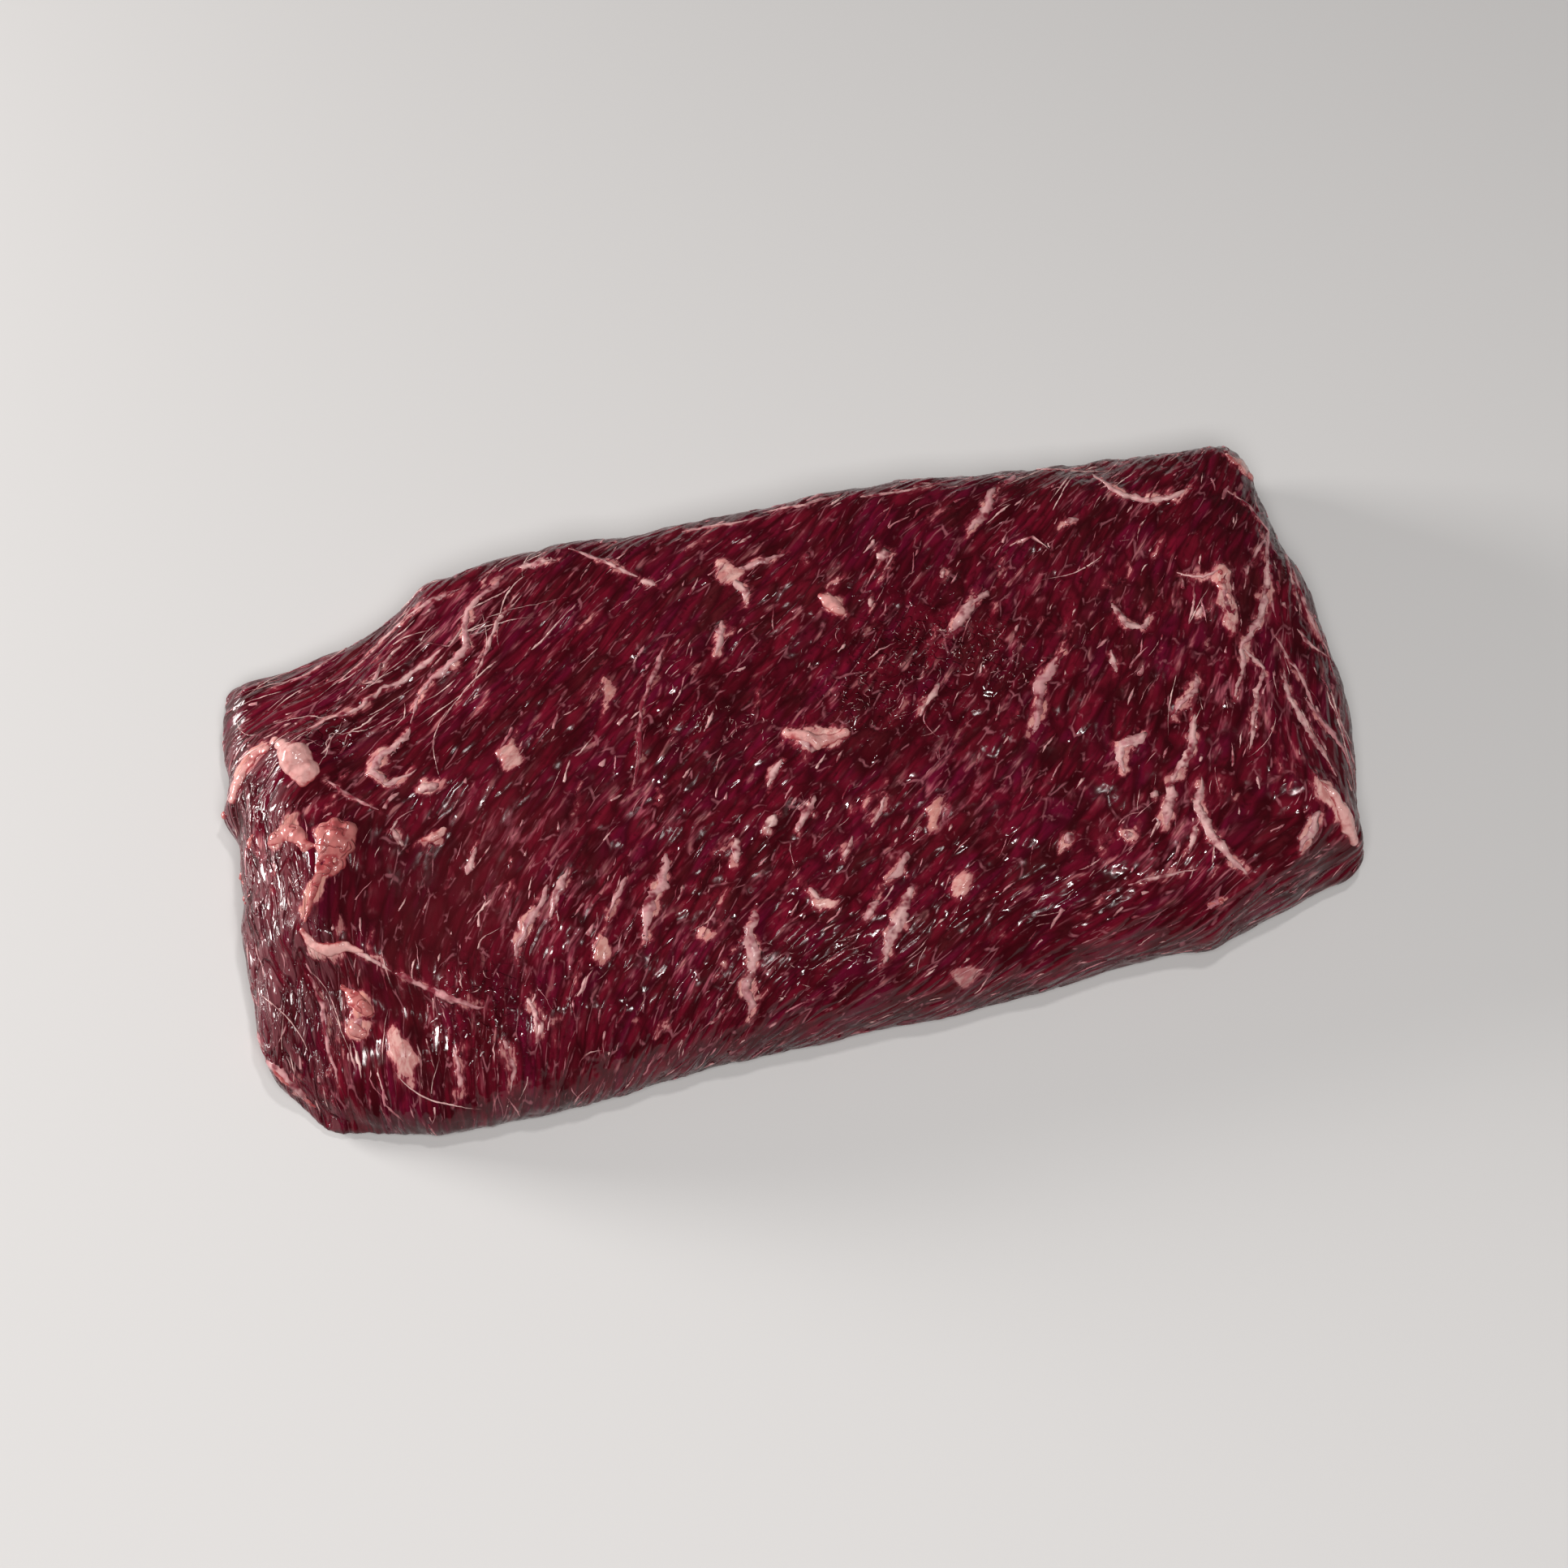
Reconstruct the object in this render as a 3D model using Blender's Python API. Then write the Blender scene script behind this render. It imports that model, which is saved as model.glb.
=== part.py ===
"""Raw flank steak, one solid piece of beef lying on its flat underside.

Run with: blender --background --python part.py
Metres, +Z up, +X along the slab from its thick rounded end to its fat-capped end, origin at the
middle of the underside.
"""

import math
import random

import bmesh
import bpy
import numpy as np
from mathutils import noise

# Driving dimensions
LENGTH = 0.290
WIDTH = 0.152
THICKNESS = 0.0268
WAIST = 0.009  # height of the widest line of the sides

# Plan outline: how far each side stands from the middle, at even steps
FRONT_EDGE = (-0.0660, -0.0740, -0.0750, -0.0735, -0.0742, -0.0750, -0.0735, -0.0718, -0.0635)
BACK_EDGE = (0.0650, 0.0655, 0.0780, 0.0780, 0.0770, 0.0755, 0.0724, 0.0680, 0.0645)
ROUND_END = (-0.1315, -0.1410, -0.1400, -0.1378, -0.1358, -0.1348, -0.1310)
CUT_END = (0.1330, 0.1410, 0.1460, 0.1478, 0.1458, 0.1450, 0.1420)

# The block's cells along X, Y and Z
CELLS = (90, 42, 5)

# Rounded rims, as (low side, high side) pairs for X and for Y: reach in from the outline, and rows of cells
SHOULDER_REACH = ((0.027, 0.022), (0.018, 0.016))
SHOULDER_ROWS = ((8, 6), (6, 5))
SHOULDER_SHARE = 0.72  # how much of the quarter turn from crown to waist lies on the top face
UNDERCUT_REACH = ((0.005, 0.005), (0.005, 0.005))
UNDERCUT_ROWS = ((2, 2), (2, 2))
UNDERCUT_SHARE = 0.60
WALL_ROWS_BELOW_WAIST = 2
RIM_POWER = 2.05  # 2 is an ellipse, more is squarer

# Broad forms: place, reach along and across, turn in degrees, height
LANDFORMS = {
    "crown": (0.020, -0.010, 0.095, 0.050, 4, 0.0014),
    "drop to the thin back corner": (-0.122, 0.060, 0.042, 0.030, 25, -0.0100),
    "slope of the thick front corner": (-0.120, -0.070, 0.034, 0.018, -18, -0.0050),
    "hollow behind the round end": (-0.092, -0.014, 0.026, 0.018, 40, -0.0034),
    "valley beside the long seam": (-0.088, 0.032, 0.024, 0.008, 48, -0.0026),
    "swell beside the hollow": (-0.064, -0.022, 0.010, 0.030, 20, 0.0018),
    "round end above the fold": (-0.128, -0.006, 0.010, 0.018, 0, 0.0016),
    "front swell": (-0.030, -0.066, 0.034, 0.010, 2, 0.0012),
    "front dip": (0.062, -0.070, 0.020, 0.009, 0, -0.0014),
    "front heel": (0.098, -0.069, 0.016, 0.010, 8, 0.0018),
    "back dip": (-0.014, 0.071, 0.020, 0.009, 0, -0.0014),
    "back swell": (0.032, 0.070, 0.022, 0.009, -4, 0.0014),
    "back facet by the cut end": (0.106, 0.062, 0.030, 0.010, -10, -0.0034),
    "dip across the cut end": (0.136, -0.014, 0.010, 0.026, 8, -0.0018),
    "middle dip": (0.010, 0.018, 0.030, 0.012, 30, -0.0012),
    "far swell": (0.078, 0.010, 0.022, 0.026, 50, 0.0010),
}

# The fold over the front corner: points along its lip, and how far the meat drops in front of each
FOLD_LIP = (
    (-0.142, -0.019), (-0.128, -0.022), (-0.116, -0.029), (-0.106, -0.037), (-0.092, -0.048), (-0.078, -0.056),
)
FOLD_DROP = (0.0016, 0.0048, 0.0092, 0.0086, 0.0046, 0.0)
FOLD_RUN = 0.0060

# Seams and small folds: half width, height, then the points that they run through
RIDGES = {
    "lip of the fold": (0.0044, 0.0022, ((-0.128, -0.019), (-0.116, -0.026), (-0.105, -0.034), (-0.091, -0.045))),
    "fold to the front": (0.0044, 0.0014, ((-0.091, -0.047), (-0.078, -0.054), (-0.056, -0.062))),
    "long seam": (0.0036, 0.0018, ((-0.104, 0.015), (-0.092, 0.026), (-0.078, 0.042), (-0.066, 0.058))),
    "side seam": (0.0034, 0.0014, ((-0.118, 0.030), (-0.104, 0.036), (-0.090, 0.050), (-0.078, 0.062))),
    "strand down the round end": (0.0034, 0.0016, ((-0.111, 0.002), (-0.118, -0.008), (-0.123, -0.020))),
    "fat strip of the cut end": (0.0046, 0.0016, ((0.116, -0.034), (0.125, -0.047), (0.132, -0.060))),
    "crest of the cut end": (0.0044, 0.0010, ((0.124, 0.036), (0.121, 0.012), (0.118, -0.012), (0.116, -0.024))),
    "crest of the back facet": (0.0036, 0.0012, ((0.088, 0.054), (0.108, 0.049), (0.126, 0.047))),
    "furrow of the corner slope": (0.0036, -0.0016, ((-0.102, -0.046), (-0.103, -0.066))),
    "bundle of the corner slope": (0.0036, 0.0014, ((-0.109, -0.050), (-0.111, -0.068))),
    "furrow above the front": (0.0036, -0.0010, ((-0.054, -0.058), (-0.020, -0.060), (0.020, -0.064))),
}

# Knobs of fat and loose meat: place, reach, how far they stand out
KNOBS = {
    "fat knob on the round end": (-0.118, 0.028, 0.0060, 0.0028),
    "curl on the round end": (-0.113, 0.002, 0.0058, 0.0022),
    "nub under the fold": (-0.117, -0.042, 0.0050, 0.0022),
    "lump on the corner slope": (-0.109, -0.056, 0.0054, 0.0018),
    "lip of the thin corner": (-0.128, 0.062, 0.0054, 0.0036),
    "lump on the back edge": (-0.074, 0.072, 0.0056, 0.0028),
    "second lump on the back edge": (-0.039, 0.073, 0.0056, 0.0016),
    "tag low on the round end": (-0.131, -0.061, 0.0044, 0.0018),
    "bead high on the round end": (-0.135, 0.024, 0.0048, 0.0024),
    "bead at the middle of the round end": (-0.136, -0.010, 0.0042, 0.0020),
    "fat corner": (0.137, 0.059, 0.0066, 0.0046),
    "fat tip": (0.133, -0.057, 0.0050, 0.0034),
    "tag on the front": (0.091, -0.073, 0.0042, 0.0024),
    "bulge of the cut end": (0.143, 0.016, 0.0080, 0.0016),
}

# Bundles of muscle fibre standing up between their seams
BUNDLES = 520
BUNDLE_LENGTH = (0.0080, 0.0180)
BUNDLE_WIDTH = (0.0022, 0.0038)
BUNDLE_HEIGHT = (0.0006, 0.0017)
BUNDLE_SEED = 7

# Which way the fibres run, in degrees from +X, at places on the slab
GRAIN = (
    (0.000, 0.000, 47), (0.060, 0.000, 50), (0.100, 0.000, 56), (0.124, 0.000, 76), (0.142, 0.000, 94),
    (-0.040, 0.000, 50), (-0.070, -0.010, 58), (-0.095, -0.020, 62), (-0.110, 0.020, 34), (-0.132, 0.000, 84),
    (-0.138, -0.030, 88), (-0.110, -0.058, 84), (-0.082, -0.060, 76), (-0.052, -0.064, 48), (0.000, -0.074, 12),
    (0.060, -0.074, 10), (0.112, -0.068, 20), (-0.090, 0.040, 24), (-0.122, 0.050, -4), (-0.060, 0.060, 30),
    (0.000, 0.072, 14), (0.060, 0.068, 14), (0.112, 0.056, 18), (0.136, 0.046, 70), (0.140, -0.046, 96),
    (0.100, -0.046, 60), (0.060, -0.040, 52), (0.000, -0.040, 50), (-0.040, -0.040, 54), (0.030, 0.040, 45),
)

# Unevenness of cut and torn meat: bumps per metre, height
UNEVENNESS = ((90, 0.0006), (240, 0.0003))

FLESH_COLOUR = (0.16, 0.014, 0.026)
FLESH_ROUGHNESS = 0.38


def smooth_step(low, high, value):
    t = np.clip((value - low) / (high - low), 0, 1)
    return t * t * (3 - 2 * t)


def through(values, t):
    """A smooth curve through evenly spaced values, at t from 0 to 1."""
    last = len(values) - 1
    place = np.clip(t, 0, 1) * last
    i = np.minimum(place.astype(int), last - 1)
    s = place - i
    before, a, b, after = (np.take(values, np.clip(i + k, 0, last)) for k in (-1, 0, 1, 2))
    bend = (2 * before - 5 * a + 4 * b - after) * s**2 + (3 * a - before - 3 * b + after) * s**3
    return a + 0.5 * ((b - before) * s + bend)


def block():
    """A closed block from -1 to 1, cut into even cells."""
    bm = bmesh.new()
    bmesh.ops.create_cube(bm, size=2)
    for axis, cells in enumerate(CELLS):
        others = [k for k in range(3) if k != axis]
        edges = [e for e in bm.edges if all(abs(e.verts[0].co[k] - e.verts[1].co[k]) < 1e-6 for k in others)]
        bmesh.ops.subdivide_edges(bm, edges=edges, cuts=cells - 1, use_grid_fill=True)
    return bm


def rounded_half(points, reach, rows, share, rise, waist_row, face_row):
    """One half of the slab: a flat face whose rim turns down to the waist."""
    placed = np.empty_like(points)
    into_rim = []
    outward = []
    for axis, half in enumerate((LENGTH / 2, WIDTH / 2)):
        value = points[:, axis]
        low = -1 + 2 * rows[axis][0] / CELLS[axis]
        high = 1 - 2 * rows[axis][1] / CELLS[axis]
        core = np.clip((value - low) / (high - low), 0, 1)
        placed[:, axis] = -half + reach[axis][0] + core * (2 * half - sum(reach[axis]))
        into_rim.append(np.clip(np.maximum((low - value) / (low + 1), (value - high) / (1 - high)), 0, 1))
        outward.append(np.where(value < 0, -reach[axis][0], reach[axis][1]))
    ring = np.maximum(*into_rim)
    down_wall = np.clip((points[:, 2] - waist_row) / (face_row - waist_row), 0, 1)
    on_face = down_wall > 1 - 1e-6
    angle = math.pi / 2 * np.where(on_face, 1 - share * ring, (1 - share) * down_wall)

    # At a corner the rim also turns in plan, from one side to the next
    leading = np.maximum(ring, 1e-9)
    turn = math.pi / 4 * np.where(
        into_rim[0] >= into_rim[1], into_rim[1] / leading, 2 - into_rim[0] / leading
    )
    out = np.where(ring > 0, np.cos(angle) ** (2 / RIM_POWER), 0)
    placed[:, 0] += outward[0] * np.cos(turn) * out
    placed[:, 1] += outward[1] * np.sin(turn) * out
    placed[:, 2] = WAIST + rise * np.where(ring > 0, np.sin(angle) ** (2 / RIM_POWER), 1)
    return placed


def slab(points):
    """The block's points laid out as a slab with rounded rims, on a plain rectangle."""
    waist_row = -1 + 2 * WALL_ROWS_BELOW_WAIST / CELLS[2]
    upper = rounded_half(points, SHOULDER_REACH, SHOULDER_ROWS, SHOULDER_SHARE, THICKNESS - WAIST, waist_row, 1)
    lower = rounded_half(points, UNDERCUT_REACH, UNDERCUT_ROWS, UNDERCUT_SHARE, -WAIST, waist_row, -1)
    return np.where(points[:, 2:] > waist_row - 1e-6, upper, lower)


def to_outline(points):
    """The plain rectangle drawn out to the real plan outline."""
    along = points[:, 0] / LENGTH + 0.5
    across = points[:, 1] / WIDTH + 0.5
    front, back = through(FRONT_EDGE, along), through(BACK_EDGE, along)
    low, high = through(ROUND_END, across), through(CUT_END, across)
    return np.stack([low + (high - low) * along, front + (back - front) * across, points[:, 2]], axis=1)


def grain_angle(x, y):
    """Direction of the fibres at a place, in radians."""
    field = np.array(GRAIN)
    near = 1 / ((x - field[:, 0]) ** 2 + (y - field[:, 1]) ** 2 + 1e-5) ** 1.5
    angle = np.radians(field[:, 2])
    return math.atan2((near * np.sin(angle)).sum(), (near * np.cos(angle)).sum())


def mound(points, x, y, along, across, turn):
    """A rounded hill of height 1, drawn out along its turn."""
    dx, dy = points[:, 0] - x, points[:, 1] - y
    u = dx * math.cos(turn) + dy * math.sin(turn)
    v = dy * math.cos(turn) - dx * math.sin(turn)
    return np.exp(-((u / along) ** 2) - (v / across) ** 2)


def beside_route(points, route):
    """Signed distance from a route (its right side counts as more than 0), and how far along it, in steps."""
    nearest = np.full(len(points), np.inf)
    side, along = np.zeros(len(points)), np.zeros(len(points))
    for i, (start, end) in enumerate(zip(route, route[1:])):
        step = np.subtract(end, start)
        away = points[:, :2] - start
        t = np.clip((away @ step) / (step @ step), 0, 1)
        distance = np.linalg.norm(away - t[:, None] * step, axis=1)
        closer = distance < nearest
        nearest = np.where(closer, distance, nearest)
        side = np.where(closer, np.sign(away[:, 0] * step[1] - away[:, 1] * step[0]), side)
        along = np.where(closer, i + t, along)
    return nearest * side, along


def landscape(points):
    """Height of the broad forms, for a point at the crown."""
    height = np.zeros(len(points))
    for x, y, along, across, turn, rise in LANDFORMS.values():
        height += rise * mound(points, x, y, along, across, math.radians(turn))
    beyond, along = beside_route(points, FOLD_LIP)
    return height - np.interp(along, range(len(FOLD_DROP)), FOLD_DROP) * smooth_step(0, FOLD_RUN, beyond)


def relief(points):
    """Height of the seams, knobs and bundles above the broad forms."""
    height = np.zeros(len(points))
    for half_width, rise, route in RIDGES.values():
        height += rise * np.exp(-((beside_route(points, route)[0] / half_width) ** 2))
    for x, y, reach, rise in KNOBS.values():
        height += rise * mound(points, x, y, reach, reach, 0)
    draw = random.Random(BUNDLE_SEED)
    tallest = np.zeros(len(points))
    for _ in range(BUNDLES):
        x = draw.uniform(-LENGTH / 2, LENGTH / 2)
        y = draw.uniform(-WIDTH / 2, WIDTH / 2)
        long, wide, rise = (draw.uniform(*span) for span in (BUNDLE_LENGTH, BUNDLE_WIDTH, BUNDLE_HEIGHT))
        tallest = np.maximum(tallest, rise * mound(points, x, y, long, wide, grain_angle(x, y)))
    for bumps, rise in UNEVENNESS:
        height += rise * np.array([noise.noise(point) for point in (points * bumps).tolist()])
    return height + tallest


def places(bm):
    return np.array([v.co for v in bm.verts])


def put(bm, points):
    for vertex, point in zip(bm.verts, points):
        vertex.co = point
    bm.normal_update()


def flank_steak():
    bm = block()
    points = to_outline(slab(places(bm)))
    points[:, 2] += landscape(points) * points[:, 2] / THICKNESS
    put(bm, points)
    clear_of_floor = smooth_step(0.001, 0.007, points[:, 2])
    normals = np.array([v.normal for v in bm.verts])
    points += normals * (relief(points) * clear_of_floor)[:, None]
    low, high = points.min(axis=0), points.max(axis=0)
    put(bm, points - [(low[0] + high[0]) / 2, (low[1] + high[1]) / 2, low[2]])

    mesh = bpy.data.meshes.new("flank_steak")
    bmesh.ops.recalc_face_normals(bm, faces=bm.faces)
    bm.to_mesh(mesh)
    bm.free()
    mesh.shade_smooth()
    steak = bpy.data.objects.new("flank_steak", mesh)
    bpy.context.scene.collection.objects.link(steak)
    return steak


def flesh():
    material = bpy.data.materials.new("raw_beef")
    material.use_nodes = True
    shader = material.node_tree.nodes["Principled BSDF"]
    shader.inputs["Base Color"].default_value = (*FLESH_COLOUR, 1)
    shader.inputs["Roughness"].default_value = FLESH_ROUGHNESS
    shader.inputs["Metallic"].default_value = 0
    return material


def main():
    for existing in list(bpy.data.objects):
        bpy.data.objects.remove(existing)
    steak = flank_steak()
    steak.data.materials.append(flesh())


main()
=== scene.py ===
import math
import random

import bpy
import numpy as np
from mathutils import Matrix, Vector, noise
from mathutils.bvhtree import BVHTree
from mathutils.kdtree import KDTree


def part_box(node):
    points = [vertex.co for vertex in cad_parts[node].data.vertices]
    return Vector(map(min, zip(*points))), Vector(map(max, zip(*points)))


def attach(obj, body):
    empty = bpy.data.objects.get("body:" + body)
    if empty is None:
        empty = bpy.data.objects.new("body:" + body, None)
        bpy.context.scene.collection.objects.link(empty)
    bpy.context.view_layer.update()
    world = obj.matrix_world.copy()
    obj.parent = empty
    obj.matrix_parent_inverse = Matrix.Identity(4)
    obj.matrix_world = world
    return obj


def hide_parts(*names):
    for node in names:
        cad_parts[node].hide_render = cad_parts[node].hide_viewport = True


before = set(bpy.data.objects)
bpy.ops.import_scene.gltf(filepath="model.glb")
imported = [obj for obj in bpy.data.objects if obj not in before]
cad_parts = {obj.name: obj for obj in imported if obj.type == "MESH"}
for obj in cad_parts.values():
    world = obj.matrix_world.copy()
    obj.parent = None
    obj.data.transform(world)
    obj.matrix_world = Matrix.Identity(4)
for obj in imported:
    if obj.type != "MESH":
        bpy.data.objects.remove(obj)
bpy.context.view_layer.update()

scene = bpy.context.scene
mm = 0.001  # metres


# Small helpers

def selectOnly(obj):
    bpy.ops.object.select_all(action="DESELECT")
    obj.select_set(True)
    bpy.context.view_layer.objects.active = obj


def editAll(obj, operation, **settings):
    selectOnly(obj)
    bpy.ops.object.mode_set(mode="EDIT")
    bpy.ops.mesh.select_all(action="SELECT")
    operation(**settings)
    bpy.ops.object.mode_set(mode="OBJECT")


def applyModifier(obj, name, kind, **settings):
    selectOnly(obj)
    modifier = obj.modifiers.new(name, kind)
    for setting, value in settings.items():
        setattr(modifier, setting, value)
    bpy.ops.object.modifier_apply(modifier=name)


def readArray(items, field, across=3, kind=float):
    values = np.empty(len(items) * across, kind)
    items.foreach_get(field, values)
    return values.reshape(-1, across)


def readMesh(mesh):
    points = readArray(mesh.vertices, "co")
    normals = readArray(mesh.vertex_normals, "vector")
    return points, normals, readArray(mesh.edges, "vertices", 2, int)


def writePoints(mesh, points):
    mesh.vertices.foreach_set("co", np.asarray(points, float).ravel())
    mesh.update()


def writeVectors(mesh, name, *columns):
    # up to three values for each point
    vectors = np.zeros((len(mesh.vertices), 3), np.float32)
    vectors[:, :len(columns)] = np.transpose(columns)
    mesh.attributes.new(name, "FLOAT_VECTOR", "POINT").data.foreach_set("vector", vectors.ravel())


def smoothStep(low, high, value):
    t = np.clip((value - low) / (high - low), 0, 1)
    return t * t * (3 - 2 * t)


def unit(vectors):
    return vectors / np.maximum(np.linalg.norm(vectors, axis=-1, keepdims=True), 1e-12)


def noiseAt(points, bumps, shift=0.0):
    return np.array([noise.noise(p) for p in (points * bumps + shift).tolist()])


def smoothShaded(piece):
    selectOnly(piece)
    bpy.ops.object.shade_smooth()
    print(piece.name, "has", len(piece.data.polygons), "faces")
    return piece


def setInputs(node, inputs):
    # each input takes a link or a constant value
    for socket, value in inputs.items():
        if isinstance(value, bpy.types.NodeSocket):
            node.id_data.links.new(value, node.inputs[socket])
        else:
            node.inputs[socket].default_value = value


def newMaterial(name):
    material = bpy.data.materials.new(name)
    material.use_nodes = True
    return material, material.node_tree.nodes["Principled BSDF"]


# Camera, at the photo's angle

cameraSetup = {
    "azimuth": -15.0,
    "elevation": 60.0,
    "distance": 0.938,
    "target": (-0.0026, -0.0068, 0.014),
    "lens": 85.0,
    "sensor": 36.0,
    "framePixels": 1932,
}


def cameraAxes():
    a, e = math.radians(cameraSetup["azimuth"]), math.radians(cameraSetup["elevation"])
    back = Vector((math.sin(a) * math.cos(e), -math.cos(a) * math.cos(e), math.sin(e)))
    right = Vector((math.cos(a), math.sin(a), 0))
    return right, back.cross(right), back


def buildCamera():
    right, up, back = cameraAxes()
    camera = bpy.data.objects.new("photoCamera", bpy.data.cameras.new("photoCamera"))
    scene.collection.objects.link(camera)
    camera.data.lens = cameraSetup["lens"]
    camera.data.sensor_width = cameraSetup["sensor"]
    placed = Matrix((right, up, back)).transposed().to_4x4()
    placed.translation = Vector(cameraSetup["target"]) + back * cameraSetup["distance"]
    camera.matrix_world = placed
    scene.camera = camera


def rayThrough(pixel):
    # the camera's place, and the way from it through a pixel of the photo's frame
    right, up, back = cameraAxes()
    half = cameraSetup["framePixels"] / 2
    focal = cameraSetup["lens"] / cameraSetup["sensor"] * cameraSetup["framePixels"]
    way = right * ((pixel[0] - half) / focal) - up * ((pixel[1] - half) / focal) - back
    return Vector(cameraSetup["target"]) + back * cameraSetup["distance"], way.normalized()


def pixelSize():
    # what one pixel of the photo's frame covers at the steak, in metres
    return cameraSetup["distance"] * cameraSetup["sensor"] / cameraSetup["lens"] / cameraSetup["framePixels"]


# Studio: a pale floor, a broad soft light in front, a low one on the rounded end, a small one above

studio = {
    "floorSize": 8.0,
    "floorPaint": {"Base Color": (0.60, 0.592, 0.585, 1), "Roughness": 0.9, "Specular IOR Level": 0.1},
    "sky": {"Color": (0.86, 0.88, 0.90, 1), "Strength": 0.08},
    "lights": {
        # place, size, power, colour, whether it shows in the gloss
        "frontSoftbox": ((-0.15, -0.70, 1.08), (0.55, 0.50), 13.0, (1.0, 0.98, 0.97), False),
        "endSoftbox": ((-0.90, 0.52, 0.24), (0.40, 0.22), 14.0, (1.0, 0.97, 0.95), True),
        "topSoftbox": ((0.16, -0.02, 1.25), (0.11, 0.09), 3.1, (1.0, 0.98, 0.97), True),
    },
}


def buildStudio():
    bpy.ops.object.select_all(action="DESELECT")
    bpy.ops.mesh.primitive_plane_add(size=studio["floorSize"])
    floor = bpy.context.object
    floor.name = "studioFloor"
    paint, shader = newMaterial("palePaint")
    setInputs(shader, studio["floorPaint"])
    floor.data.materials.append(paint)

    for name, (place, size, power, colour, glossy) in studio["lights"].items():
        light = bpy.data.lights.new(name, "AREA")
        light.shape = "RECTANGLE"
        light.size, light.size_y = size
        light.energy = power
        light.color = colour
        lamp = bpy.data.objects.new(name, light)
        lamp.location = place
        lamp.visible_glossy = glossy
        lamp.rotation_euler = (-Vector(place)).to_track_quat("-Z", "Y").to_euler()
        scene.collection.objects.link(lamp)

    world = bpy.data.worlds.new("studioWorld")
    world.use_nodes = True
    setInputs(world.node_tree.nodes["Background"], studio["sky"])
    scene.world = world
    scene.view_settings.view_transform = "Standard"


# Grain: which way the fibres run, in degrees from +X, at places on the steak

grain = {
    "middle": (
        (0.000, 0.000, 47), (0.060, 0.000, 50), (-0.040, 0.000, 50), (0.030, 0.040, 45), (0.000, -0.040, 50),
    ),
    "rightOfMiddle": ((0.100, 0.000, 56), (0.100, -0.046, 60), (0.060, -0.040, 52)),
    "leftOfMiddle": ((-0.070, -0.010, 58), (-0.040, -0.040, 54), (-0.095, -0.020, 62)),
    "cutEnd": ((0.124, 0.000, 76), (0.142, 0.000, 94), (0.136, 0.046, 70), (0.140, -0.046, 96)),
    "roundEnd": ((-0.132, 0.000, 84), (-0.138, -0.030, 88), (-0.110, 0.020, 34)),
    "frontCorner": ((-0.110, -0.058, 84), (-0.082, -0.060, 76), (-0.052, -0.064, 48)),
    "front": ((0.000, -0.074, 12), (0.060, -0.074, 10), (0.112, -0.068, 20)),
    "thinCorner": ((-0.090, 0.040, 24), (-0.122, 0.050, -4), (-0.060, 0.060, 30)),
    "back": ((0.000, 0.072, 14), (0.060, 0.068, 14), (0.112, 0.056, 18)),
}
# how the surface is combed flat
combing = {
    "rounds": 420,
    "seenFrom": 0.3,  # upward part of the normal where the flat way is measured
    "hiddenBelow": -0.8,
    "hiddenWeight": 0.02,
}


def grainWays(points, normals):
    # unit vectors along the fibres, in the surface
    field = np.array([place for group in grain.values() for place in group])
    angle = np.radians(field[:, 2])
    gap = ((points[:, None, :2] - field[None, :, :2]) ** 2).sum(axis=2)
    near = 1 / (gap + 1e-5) ** 1.5
    plan = np.stack([near @ np.sin(angle), near @ np.cos(angle)], axis=1)[:, ::-1]
    way = unit(np.column_stack([plan, np.zeros(len(points))]))
    # the way on the flat is bent over the shoulders as the surface turns
    turned = (way * normals).sum(axis=1) / np.maximum(1 + normals[:, 2], 0.15)
    way = way - turned[:, None] * (normals + [0, 0, 1])
    return unit(way - normals * (way * normals).sum(axis=1, keepdims=True))


def evenOut(edges, rise, weight, start, rounds):
    # heights whose differences along the edges come closest to rise, by conjugate gradients
    i, j = edges.T
    count = len(start)
    stiffness = np.bincount(i, weight, count) + np.bincount(j, weight, count)

    def spread(steps):
        return np.bincount(i, weight * steps, count) - np.bincount(j, weight * steps, count)

    values = start.copy()
    left = -spread(rise + values[i] - values[j])
    way = left / stiffness
    size = left @ way
    for _ in range(rounds):
        ahead = spread(way[i] - way[j])
        step = size / (way @ ahead)
        values += step * way
        left -= step * ahead
        eased = left / stiffness
        newSize = left @ eased
        way = eased + newSize / size * way
        size = newSize
    return values


def grainFlow(points, normals, edges, ways):
    # across and along the fibres, in metres, as if the surface were combed flat; the underside gives way
    across = np.cross(normals, ways)
    step = points[edges[:, 1]] - points[edges[:, 0]]
    up = normals[edges[:, 0], 2] + normals[edges[:, 1], 2]
    weight = np.where(up > combing["hiddenBelow"], 1.0, combing["hiddenWeight"])
    seen = normals[:, 2] > combing["seenFrom"]
    flow = []
    for side in (across, ways):
        middle = unit(side[edges[:, 0]] + side[edges[:, 1]])
        start = points @ side[seen].mean(axis=0)
        flow.append(evenOut(edges, (middle * step).sum(axis=1), weight, start, combing["rounds"]))
    return flow


# Body: the CAD solid's shape, made fine and given its fibres

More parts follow.
